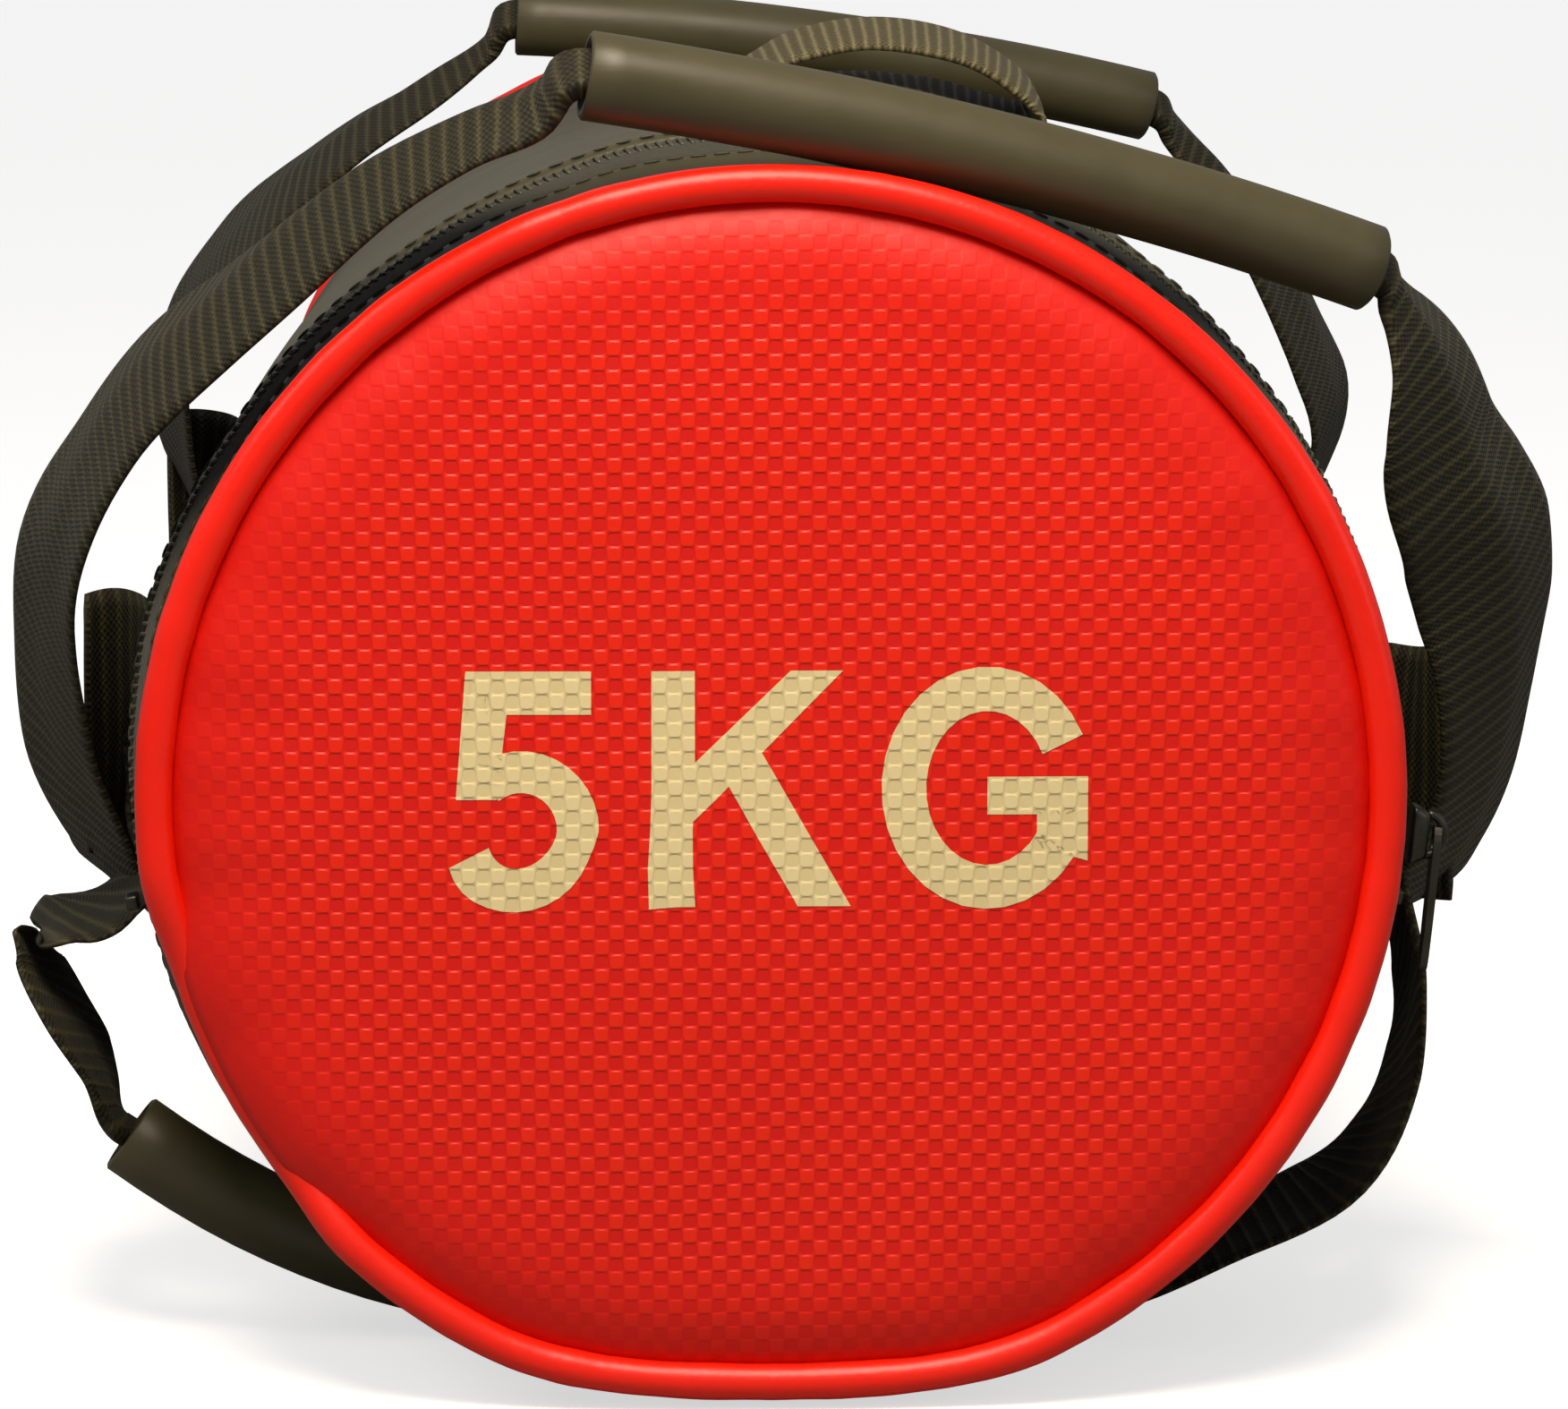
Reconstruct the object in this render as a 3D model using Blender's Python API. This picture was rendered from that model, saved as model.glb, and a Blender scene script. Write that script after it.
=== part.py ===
"""Cylindrical weight training bag with webbing handles, a ring zip and a carry loop.

Metres, +Z up. The bag's axis runs along Y, the marked end faces -Y, and the
floor is z = 0.
"""
import math

import bmesh
import bpy
from mathutils import Matrix, Vector

# Overall size
BAG_LENGTH = 0.500
BAG_DIAMETER = 0.200
FLAT_WIDTH = 0.050

# Fits
GAP = 0.0003
SEWN_GAP = 0.0004

# Sheet and padding thickness
COVER_WALL = 0.0015
PANEL_WALL = 0.0020
SLEEVE_WALL = 0.0030
SACK_WALL = 0.0010
TAPE_WALL = 0.0008

# Rim cord and end panels
PIPING_RADIUS = 0.0030
PANEL_DOME = 0.0070
COVER_STEP = 0.0025
BULGE_NEAR = 0.0060
BULGE_FAR = -0.0010
BULGE_FADE = 0.0220

# Ring zip
ZIP_FROM_END = 0.0350
COIL_RADIUS = 0.0012
TAPE_WIDTH = 0.0056
ZIP_HALF_ANGLE = math.radians(100.0)
SLIDER_LENGTH = 0.0100
SLIDER_WIDTH = 0.0076
SLIDER_HEIGHT = 0.0030
PULL_LENGTH = 0.0240
PULL_WIDTH = 0.0050

# Webbing and grips
WEBBING_WIDTH = 0.0380
WEBBING_THICKNESS = 0.0016
BUNCH_WIDTH = 0.0090
BUNCH_THICKNESS = 0.0042
GRIP_OUTER_RADIUS = 0.0072
GRIP_INNER_RADIUS = 0.0056
GRIP_ARCH = 0.0040
CREEP_LENGTH = 0.0110
SIDE_EASE = 0.0012
ANCHOR_FROM_MIDDLE = 0.1600

# Filling
SAND_RADIUS = 0.0460
SAND_LENGTH = 0.4400
FOAM_DISC_BACK = 0.0120

# Grips pinned under the bag
PINNED_FROM_MIDDLE = 0.1900
PINNED_BEND_START = -0.0350
PINNED_LEFT_END = -0.1050
PINNED_RIGHT_END = 0.0170
PINNED_RISE = 0.0260
PINNED_LIFT = 0.0006

# Carry loop
LOOP_WIDTH = 0.0300

# Mesh fineness
AROUND = 40
GRIP_SIDES = 14

RIM_RADIUS = BAG_DIAMETER / 2.0
COVER_RADIUS = RIM_RADIUS - COVER_STEP
AXIS_HEIGHT = math.sqrt(RIM_RADIUS ** 2 - (FLAT_WIDTH / 2.0) ** 2)
HALF_LENGTH = BAG_LENGTH / 2.0
SIZE_SCALE = BAG_DIAMETER / 0.200
LENGTH_SCALE = BAG_LENGTH / 0.500
ANCHOR_Y = ANCHOR_FROM_MIDDLE * LENGTH_SCALE
PINNED_Y = PINNED_FROM_MIDDLE * LENGTH_SCALE
PIPING_Y = HALF_LENGTH - PANEL_DOME + 0.0020
ZIP_Y = HALF_LENGTH - ZIP_FROM_END


def clear_scene():
    """Remove whatever the file opened with."""
    for thing in list(bpy.data.objects):
        bpy.data.objects.remove(thing, do_unlink=True)


def material(name, rgb, roughness, metallic=0.0):
    """One plain material for one piece."""
    made = bpy.data.materials.new(name)
    made.use_nodes = True
    shader = made.node_tree.nodes["Principled BSDF"]
    shader.inputs["Base Color"].default_value = (rgb[0], rgb[1], rgb[2], 1.0)
    shader.inputs["Roughness"].default_value = roughness
    shader.inputs["Metallic"].default_value = metallic
    made.diffuse_color = (rgb[0], rgb[1], rgb[2], 1.0)
    return made


def add_piece(name, verts, faces, surface, smooth=True, origin=None):
    """Make one closed solid, facing outwards, with its origin where it turns."""
    mesh = bpy.data.meshes.new(name)
    base = Vector(origin) if origin is not None else Vector((0.0, 0.0, 0.0))
    mesh.from_pydata([tuple(Vector(v) - base) for v in verts], [], faces)
    work = bmesh.new()
    work.from_mesh(mesh)
    bmesh.ops.recalc_face_normals(work, faces=work.faces)
    if work.calc_volume(signed=True) < 0.0:
        bmesh.ops.reverse_faces(work, faces=work.faces)
    work.to_mesh(mesh)
    work.free()
    for face in mesh.polygons:
        face.use_smooth = smooth
    mesh.materials.append(surface)
    piece = bpy.data.objects.new(name, mesh)
    piece.location = base
    bpy.context.scene.collection.objects.link(piece)
    return piece


def pinned_height(x):
    """Height of the centre line of a grip that lies under the bag."""
    low = GRIP_OUTER_RADIUS + PINNED_LIFT
    past = PINNED_BEND_START * SIZE_SCALE - x
    if past <= 0.0:
        return low
    reach = (PINNED_BEND_START - PINNED_LEFT_END) * SIZE_SCALE
    return low + PINNED_RISE * SIZE_SCALE * (past / reach) ** 2


def pinned_slope(x):
    """Slope of that centre line."""
    step = 0.0005
    return (pinned_height(x + step) - pinned_height(x - step)) / (2.0 * step)


def ease(value):
    """Smooth step between 0 and 1."""
    value = min(max(value, 0.0), 1.0)
    return value * value * (3.0 - 2.0 * value)


def underside(x, y):
    """Height the cover is pushed up to by the pinned grips and straps."""
    across = abs(abs(y) - PINNED_Y)
    full = GRIP_OUTER_RADIUS + 0.0016
    fade = 1.0 - ease((across - full) / 0.0125)
    if fade <= 0.0:
        return 0.0
    spread = GRIP_OUTER_RADIUS + 0.0012
    top = pinned_height(x) + spread * math.sqrt(1.0 + pinned_slope(x) ** 2)
    end = PINNED_RIGHT_END * SIZE_SCALE
    strap_top = BUNCH_THICKNESS + 0.0030
    along = ease((x - end - 0.0120) / 0.0200)
    top = top * (1.0 - along) + strap_top * along
    left_end = PINNED_BEND_START * SIZE_SCALE - 0.0530
    top = top * ease((x - left_end) / 0.0060)
    return top * fade


def skin_radius(y):
    """Radius of the cover, which swells a little between its tight rims."""
    share = (y + HALF_LENGTH) / BAG_LENGTH
    swell = BULGE_NEAR + (BULGE_FAR - BULGE_NEAR) * share
    from_rim = HALF_LENGTH - abs(y) - (PANEL_DOME + 0.0080)
    return COVER_RADIUS + swell * SIZE_SCALE * ease(from_rim / BULGE_FADE)


def section_point(angle, y, inset):
    """Point on the bag's skin, moved in by the inset, flattened on the floor."""
    reach = skin_radius(y) - inset
    x = reach * math.sin(angle)
    z = AXIS_HEIGHT + reach * math.cos(angle)
    z = max(z, underside(x, y) + inset)
    return (x, y, z)


def ring_angles():
    """Angles round the bag, from the top."""
    return [2.0 * math.pi * step / AROUND for step in range(AROUND)]


def grid_faces(rows, columns, start, closed_rows=False):
    """Quads between successive rings of points."""
    faces = []
    last = rows if closed_rows else rows - 1
    for row in range(last):
        after = (row + 1) % rows
        for column in range(columns):
            right = (column + 1) % columns
            faces.append((
                start + row * columns + column,
                start + row * columns + right,
                start + after * columns + right,
                start + after * columns + column,
            ))
    return faces


def two_skins(name, outer_rings, inner_rings, surface):
    """A tube wall from matching rings, split along the same diagonals on both sides."""
    verts = []
    for ring in outer_rings + inner_rings:
        verts += ring
    rows = len(outer_rings)
    faces = []
    for skin in (0, rows * AROUND):
        for row in range(rows - 1):
            for column in range(AROUND):
                right = (column + 1) % AROUND
                a = skin + row * AROUND + column
                b = skin + row * AROUND + right
                c = skin + (row + 1) * AROUND + right
                d = skin + (row + 1) * AROUND + column
                faces += [(a, b, c), (a, c, d)]
    for row in (0, rows - 1):
        for column in range(AROUND):
            right = (column + 1) % AROUND
            outer = row * AROUND
            inner = (rows + row) * AROUND
            faces.append((outer + column, outer + right, inner + right, inner + column))
    return add_piece(name, verts, faces, surface)


def tube_wall(name, stations, outer_inset, wall, surface):
    """A sleeve round the bag's axis, with its wall inside the given inset."""
    angles = ring_angles()
    outer = [[section_point(a, y, outer_inset) for a in angles] for y in stations]
    inner = [[section_point(a, y, outer_inset + wall) for a in angles] for y in stations]
    return two_skins(name, outer, inner, surface)


def steps_between(low, high):
    """Where rings of points go along the bag, closest by the pinned grips."""
    tape_far = ZIP_Y - COIL_RADIUS - GAP - TAPE_WIDTH
    hollow = (-0.0213, -0.0150, -0.0088, 0.0088, 0.0150, 0.0213)
    marks = [PINNED_Y + reach for reach in hollow]
    marks += [HALF_LENGTH - 0.0180, HALF_LENGTH - 0.0240, PINNED_Y * 0.5]
    marks.append(HALF_LENGTH - FOAM_DISC_BACK - GAP)
    marks += [-mark for mark in marks]
    marks += [-tape_far, -(tape_far - GAP), 0.0]
    inside = [mark for mark in marks if low < mark < high]
    return sorted([low, high] + inside)


def round_rod(name, path, radii, surface, sides=10, closed=False, origin=None, up=None):
    """A solid rod along a path."""
    verts = []
    count = len(path)
    points = [Vector(p) for p in path]
    for index, point in enumerate(points):
        if closed:
            ahead = points[(index + 1) % count]
            behind = points[index - 1]
        else:
            ahead = points[min(index + 1, count - 1)]
            behind = points[max(index - 1, 0)]
        along = (ahead - behind).normalized()
        side = Vector(up).cross(along).normalized()
        top = along.cross(side).normalized()
        radius = radii[index]
        for step in range(sides):
            a = 2.0 * math.pi * step / sides
            verts.append(point + side * (radius * math.cos(a)) + top * (radius * math.sin(a)))
    faces = grid_faces(count, sides, 0, closed_rows=closed)
    if not closed:
        faces.append(tuple(range(sides)))
        faces.append(tuple(range((count - 1) * sides, count * sides)))
    return add_piece(name, verts, faces, surface, origin=origin)


def grip_tube(name, path, side, surface, origin=None):
    """A hollow grip with square cut ends. The side vector is square to its bend."""
    points = [Vector(p) for p in path]
    across = Vector(side).normalized()
    count = len(points)
    frames = []
    for index, point in enumerate(points):
        along = (points[min(index + 1, count - 1)] - points[max(index - 1, 0)]).normalized()
        frames.append((point, along.cross(across).normalized()))
    verts = []
    walk = [(frame, GRIP_OUTER_RADIUS) for frame in frames]
    walk += [(frame, GRIP_INNER_RADIUS) for frame in reversed(frames)]
    for (point, top), radius in walk:
        for step in range(GRIP_SIDES):
            a = 2.0 * math.pi * step / GRIP_SIDES
            verts.append(point + across * (radius * math.cos(a)) + top * (radius * math.sin(a)))
    faces = grid_faces(len(walk), GRIP_SIDES, 0, closed_rows=True)
    return add_piece(name, verts, faces, surface, origin=origin)


def ribbon(name, stations, surface, origin=None):
    """Webbing along a path. A station is (point, width direction, width, thickness)."""
    verts = []
    count = len(stations)
    for index, (point, across, width, thickness) in enumerate(stations):
        here = Vector(point)
        ahead = Vector(stations[min(index + 1, count - 1)][0])
        behind = Vector(stations[max(index - 1, 0)][0])
        along = (ahead - behind).normalized()
        wide = Vector(across)
        wide = (wide - along * wide.dot(along)).normalized()
        face = along.cross(wide).normalized()
        for w, t in ((-0.5, -0.5), (0.5, -0.5), (0.5, 0.5), (-0.5, 0.5)):
            verts.append(here + wide * (w * width) + face * (t * thickness))
    faces = grid_faces(count, 4, 0)
    faces.append((0, 1, 2, 3))
    last = 4 * (count - 1)
    faces.append((last, last + 1, last + 2, last + 3))
    return add_piece(name, verts, faces, surface, smooth=False, origin=origin)


def smooth_curve(points, per_span):
    """Catmull-Rom points through hand placed points of any length."""
    rows = [Vector(p) for p in points]
    rows = [rows[0] * 2.0 - rows[1]] + rows + [rows[-1] * 2.0 - rows[-2]]
    made = []
    for index in range(1, len(rows) - 2):
        a, b, c, d = rows[index - 1], rows[index], rows[index + 1], rows[index + 2]
        for step in range(per_span):
            t = step / per_span
            made.append(0.5 * (
                b * 2.0
                + (c - a) * t
                + (a * 2.0 - b * 5.0 + c * 4.0 - d) * t * t
                + (b * 3.0 - a - c * 3.0 + d) * t * t * t
            ))
    made.append(rows[-2])
    return made


def arc_between(first, second, rise, count, extra=0.0):
    """Points on an arched line from first to second in a flat (x, reach) plane."""
    start = Vector(first)
    finish = Vector(second)
    chord = (finish - start).length
    radius = chord ** 2 / (8.0 * rise) + rise / 2.0
    half = math.asin(chord / 2.0 / radius)
    along = (finish - start).normalized()
    out = Vector((-along.y, along.x))
    middle = (start + finish) / 2.0 - out * (radius - rise)
    reach = half + extra / radius
    made = []
    for step in range(count):
        a = -reach + 2.0 * reach * step / (count - 1)
        made.append(middle + out * (radius * math.cos(a)) + along * (radius * math.sin(a)))
    return made, middle


def build_top_handle(prefix, anchor_y, lean, tube_left, tube_right, left_side, right_side, web, grip):
    """A webbing handle that swings about the two side anchors, and its grip."""
    up = Vector((0.0, -math.sin(lean), math.cos(lean)))
    across = Vector((0.0, math.cos(lean), math.sin(lean)))
    hinge = Vector((0.0, anchor_y, AXIS_HEIGHT))

    def place(flat):
        return hinge + Vector((flat[0], 0.0, 0.0)) + up * flat[1]

    inner, arch_middle = arc_between(tube_left, tube_right, GRIP_ARCH, 17, CREEP_LENGTH)
    tube, _ = arc_between(tube_left, tube_right, GRIP_ARCH, 9)
    left = smooth_curve(list(left_side) + [tuple(inner[0])], 3)[:-1]
    right = smooth_curve([tuple(inner[-1])] + list(right_side), 3)[1:]

    stations = []
    for index, flat in enumerate(left):
        grow = ease((len(left) - index) / 5.0)
        width = BUNCH_WIDTH + (WEBBING_WIDTH - BUNCH_WIDTH) * grow
        thick = BUNCH_THICKNESS + (WEBBING_THICKNESS - BUNCH_THICKNESS) * grow
        stations.append((place(flat), across, width, thick))
    for flat in inner:
        stations.append((place(flat), across, BUNCH_WIDTH, BUNCH_THICKNESS))
    for index, flat in enumerate(right):
        grow = ease((index + 1) / 5.0)
        width = BUNCH_WIDTH + (WEBBING_WIDTH - BUNCH_WIDTH) * grow
        thick = BUNCH_THICKNESS + (WEBBING_THICKNESS - BUNCH_THICKNESS) * grow
        stations.append((place(flat), across, width, thick))
    ribbon(prefix + "_strap", stations, web, origin=hinge)
    grip_tube(prefix + "_grip", [place(p) for p in tube], across, grip, origin=place(arch_middle))


def build_pinned_handle(prefix, anchor_y, pinned_y, web, grip):
    """A webbing handle folded under the bag, with its grip pinned by the weight."""
    left_x = PINNED_LEFT_END * SIZE_SCALE
    right_x = PINNED_RIGHT_END * SIZE_SCALE
    tube = []
    for step in range(15):
        x = left_x + (right_x - left_x) * step / 14.0
        tube.append((x, pinned_y, pinned_height(x)))
    side = skin_radius(anchor_y) + 2.0 * SEWN_GAP + 1.5 * WEBBING_THICKNESS
    turn = pinned_y - anchor_y
    end_z = pinned_height(left_x)
    slope = pinned_slope(left_x)
    left = smooth_curve([
        (-side, anchor_y + turn * 0.25, AXIS_HEIGHT - 0.010 * SIZE_SCALE),
        (-side, anchor_y + turn * 0.40, AXIS_HEIGHT - 0.023 * SIZE_SCALE),
        (-side - 0.0080, anchor_y + turn * 0.60, AXIS_HEIGHT - 0.033 * SIZE_SCALE),
        (-side - 0.0160, anchor_y + turn * 0.80, AXIS_HEIGHT - 0.0400 * SIZE_SCALE),
        (-side - 0.0130, pinned_y, end_z + 0.0115),
        (left_x - 0.0070, pinned_y, end_z - 0.0070 * slope),
    ], 4)
    right = smooth_curve([
        (right_x + 0.0080, pinned_y, pinned_height(right_x)),
        (right_x + 0.0220, pinned_y, 0.0040),
        (right_x + 0.0430, pinned_y, 0.0052),
        (0.0830 * SIZE_SCALE, pinned_y, 0.0200 * SIZE_SCALE),
        (0.1030 * SIZE_SCALE, anchor_y + turn * 0.80, 0.0420 * SIZE_SCALE),
        (side + 0.0035, anchor_y + turn * 0.60, AXIS_HEIGHT - 0.0340 * SIZE_SCALE),
        (side, anchor_y + turn * 0.40, AXIS_HEIGHT - 0.0230 * SIZE_SCALE),
        (side, anchor_y + turn * 0.25, AXIS_HEIGHT - 0.0100 * SIZE_SCALE),
    ], 3)
    across = (0.0, 1.0, 0.0)
    stations = []
    for index, point in enumerate(left):
        grow = ease((len(left) - index) / 6.0)
        width = BUNCH_WIDTH + (WEBBING_WIDTH - BUNCH_WIDTH) * grow
        thick = BUNCH_THICKNESS + (WEBBING_THICKNESS - BUNCH_THICKNESS) * grow
        stations.append((point, across, width, thick))
    for point in tube:
        stations.append((point, across, BUNCH_WIDTH, BUNCH_THICKNESS))
    for index, point in enumerate(right):
        grow = ease((index - 6) / 6.0)
        width = BUNCH_WIDTH + (WEBBING_WIDTH - BUNCH_WIDTH) * grow
        thick = BUNCH_THICKNESS + (WEBBING_THICKNESS - BUNCH_THICKNESS) * grow
        stations.append((point, across, width, thick))
    ribbon(prefix + "_strap", stations, web)
    grip_tube(prefix + "_grip", tube, across, grip)


def build_side_webbing(name, side, web):
    """Webbing sewn lengthwise to one side of the bag at axis height."""
    half = WEBBING_WIDTH / 2.0 / COVER_RADIUS
    rows = [-1.0, -0.5, 0.0, 0.5, 1.0]
    length = ANCHOR_Y + WEBBING_WIDTH / 2.0
    stations = steps_between(-length, length)
    verts = []
    for y in stations:
        inner = skin_radius(y) + SEWN_GAP
        outer = inner + WEBBING_THICKNESS
        ring = [(inner, a) for a in rows] + [(outer, a) for a in reversed(rows)]
        for radius, a in ring:
            tilt = a * half
            x = side * radius * math.cos(tilt)
            verts.append((x, y, AXIS_HEIGHT + radius * math.sin(tilt)))
    columns = 2 * len(rows)
    faces = grid_faces(len(stations), columns, 0)
    faces.append(tuple(range(columns)))
    last = (len(stations) - 1) * columns
    faces.append(tuple(range(last, last + columns)))
    add_piece(name, verts, faces, web, smooth=False)


def arc_strip(name, y_near, y_far, angle_from, angle_to, inner, outer, count, surface):
    """A curved plate round part of the bag."""
    verts = []
    for step in range(count):
        a = angle_from + (angle_to - angle_from) * step / (count - 1)
        for radius, y in ((inner, y_near), (outer, y_near), (outer, y_far), (inner, y_far)):
            verts.append((radius * math.sin(a), y, AXIS_HEIGHT + radius * math.cos(a)))
    faces = grid_faces(count, 4, 0)
    faces.append((0, 1, 2, 3))
    last = 4 * (count - 1)
    faces.append((last, last + 1, last + 2, last + 3))
    return add_piece(name, verts, faces, surface, smooth=False)


def build_box(name, centre, turn, size, surface, origin=None, taper=1.0):
    """A small block turned about the bag's axis."""
    half = Vector(size) / 2.0
    verts = []
    for sx, sy, sz in (
        (-1, -1, -1), (1, -1, -1), (1, 1, -1), (-1, 1, -1),
        (-1, -1, 1), (1, -1, 1), (1, 1, 1), (-1, 1, 1),
    ):
        narrow = taper if sz > 0 else 1.0
        local = Vector((sx * half.x * narrow, sy * half.y * narrow, sz * half.z))
        verts.append(Vector(centre) + Matrix.Rotation(turn, 3, "Y") @ local)
    faces = [(0, 1, 2, 3), (4, 5, 6, 7), (0, 1, 5, 4), (1, 2, 6, 5), (2, 3, 7, 6), (3, 0, 4, 7)]
    return add_piece(name, verts, faces, surface, smooth=False, origin=origin)


def polar(radius, angle, y):
    """Point at a radius and angle from the top, about the bag's axis."""
    return Vector((radius * math.sin(angle), y, AXIS_HEIGHT + radius * math.cos(angle)))


def build_shell(colours):
    """Cover, end panels, rim cords and padding."""
    edge = PIPING_Y - PIPING_RADIUS - GAP
    tape_far = ZIP_Y - COIL_RADIUS - GAP - TAPE_WIDTH
    tape_near = ZIP_Y + COIL_RADIUS + GAP + TAPE_WIDTH

    cover = steps_between(-(tape_far - GAP), edge)
    tube_wall("main_cover", cover, 0.0, COVER_WALL, colours["black_vinyl"])

    band = steps_between(-edge, -(tape_near + GAP))
    tube_wall("zip_side_band", band, 0.0, COVER_WALL, colours["black_vinyl_band"])

    tape_inset = 0.0002
    far_steps = steps_between(-(ZIP_Y - COIL_RADIUS - GAP), -tape_far)
    tube_wall("zip_tape_far", far_steps, tape_inset, TAPE_WALL, colours["tape_far"])
    near_steps = steps_between(-tape_near, -(ZIP_Y + COIL_RADIUS + GAP))
    tube_wall("zip_tape_near", near_steps, tape_inset, TAPE_WALL, colours["tape_near"])

    sleeve_end = HALF_LENGTH - FOAM_DISC_BACK - GAP
    sleeve_inset = COVER_WALL + GAP
    inner_steps = steps_between(-sleeve_end, sleeve_end)
    tube_wall("foam_sleeve", inner_steps, sleeve_inset, SLEEVE_WALL, colours["foam_sleeve"])

    angles = ring_angles()
    roll_inset = sleeve_inset + SLEEVE_WALL + GAP
    core = SAND_RADIUS + SACK_WALL + 2.0 * GAP
    outer = [[section_point(a, y, roll_inset) for a in angles] for y in inner_steps]
    inner = [[polar(core, a, y) for a in angles] for y in inner_steps]
    two_skins("padding_roll", outer, inner, colours["padding_roll"])

    half_sand = SAND_LENGTH / 2.0 * LENGTH_SCALE
    verts = []
    sack_reach = SAND_RADIUS + GAP
    for y, radius in (
        (-half_sand, sack_reach + SACK_WALL), (half_sand, sack_reach + SACK_WALL),
        (half_sand, sack_reach), (-half_sand, sack_reach),
    ):
        verts += [polar(radius, a, y) for a in angles]
    add_piece("sand_sack", verts, grid_faces(4, AROUND, 0, closed_rows=True), colours["sand_sack"])
    verts = [polar(SAND_RADIUS, a, -half_sand + 0.001) for a in angles]
    verts += [polar(SAND_RADIUS, a, half_sand - 0.001) for a in angles]
    faces = grid_faces(2, AROUND, 0)
    faces.append(tuple(range(AROUND)))
    faces.append(tuple(range(AROUND, 2 * AROUND)))
    add_piece("sand_fill", verts, faces, colours["sand_fill"])

    panel_edge = RIM_RADIUS - 2.0 * PIPING_RADIUS - GAP
    for word, side in (("near", -1.0), ("far", 1.0)):
        build_end(word, side, panel_edge, colours)


def end_ring(radius, y):
    """Ring of points parallel to the flattened rim."""
    made = []
    inset = RIM_RADIUS - radius
    for a in ring_angles():
        z = AXIS_HEIGHT + max(radius * math.cos(a), -(AXIS_HEIGHT - inset))
        made.append((radius * math.sin(a), y, z))
    return made


def ring_plug(name, rings, surface):
    """A domed disc from rings of (radius, y), closed at both middles."""
    verts = []
    for radius, y in rings:
        verts += end_ring(radius, y)
    faces = grid_faces(len(rings), AROUND, 0)
    first = len(verts)
    end = (len(rings) - 1) * AROUND
    verts.append((0.0, rings[0][1], AXIS_HEIGHT))
    verts.append((0.0, rings[-1][1], AXIS_HEIGHT))
    for column in range(AROUND):
        right = (column + 1) % AROUND
        faces.append((first, right, column))
        faces.append((first + 1, end + column, end + right))
    add_piece(name, verts, faces, surface)


def build_end(word, side, panel_edge, colours):
    """One end of the bag: panel, rim cord and the foam disc behind the panel."""
    crown = HALF_LENGTH
    shape = (
        (0.45, 0.0),
        (0.86, 0.0006),
        (0.95, 0.0020),
        (0.985, 0.0038),
        (1.0, 0.0060),
    )
    front = [(panel_edge * share, side * (crown - back)) for share, back in shape]
    back = [(panel_edge * share, side * (crown - back - PANEL_WALL)) for share, back in shape]
    ring_plug(word + "_end_panel", front + back[::-1], colours[word + "_panel"])

    foam_edge = panel_edge - 0.0012
    foam = [(foam_edge * share, side * (crown - back - PANEL_WALL - GAP)) for share, back in shape[:3]]
    foam.append((foam_edge * 0.985, side * (crown - FOAM_DISC_BACK + 0.0018)))
    foam.append((foam_edge * 0.97, side * (crown - FOAM_DISC_BACK)))
    foam.append((foam_edge * 0.45, side * (crown - FOAM_DISC_BACK)))
    ring_plug(word + "_foam_disc", foam, colours[word + "_foam"])

    centre = end_ring(RIM_RADIUS - PIPING_RADIUS, side * PIPING_Y)
    radii = [PIPING_RADIUS] * len(centre)
    round_rod(word + "_piping", centre, radii, colours[word + "_piping"], 8, True, None, (0.0, 1.0, 0.0))


def build_zip(colours):
    """Coil, end stops, slider and pull."""
    count = 61
    skin = skin_radius(-ZIP_Y)
    path = []
    radii = []
    for step in range(count):
        a = -ZIP_HALF_ANGLE + 2.0 * ZIP_HALF_ANGLE * step / (count - 1)
        path.append(polar(skin - 0.0004, a, -ZIP_Y))
        radii.append(COIL_RADIUS if step % 2 else COIL_RADIUS * 0.85)
    round_rod("zip_coil", path, radii, colours["zip_coil"], 6, False, None, (0.0, 1.0, 0.0))

    for word, side in (("left", -1.0), ("right", 1.0)):
        angle = side * (ZIP_HALF_ANGLE + 0.0022 / skin)
        centre = polar(skin + 0.0014, angle, -ZIP_Y)
        build_box("zip_stop_" + word, centre, angle, (0.0024, 0.0050, 0.0022), colours["stop_" + word])

    rest = ZIP_HALF_ANGLE - 0.0080 / skin
    base = skin + COIL_RADIUS + 0.0003
    centre = polar(base + SLIDER_HEIGHT / 2.0, rest, -ZIP_Y)
    pivot = (0.0, -ZIP_Y, AXIS_HEIGHT)
    size = (SLIDER_LENGTH, SLIDER_WIDTH, SLIDER_HEIGHT)
    build_box("zip_slider", centre, rest, size, colours["zip_slider"], origin=pivot, taper=0.75)

    top = base + SLIDER_HEIGHT
    hinge = polar(top + 0.0016, rest, -ZIP_Y)
    down = Matrix.Rotation(rest, 3, "Y") @ Vector((1.0, 0.0, 0.0))
    centre = hinge + down * (PULL_LENGTH / 2.0 - 0.0012)
    size = (PULL_LENGTH, PULL_WIDTH, 0.0014)
    build_box("zip_pull", centre, rest, size, colours["zip_pull"], origin=hinge)


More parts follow.
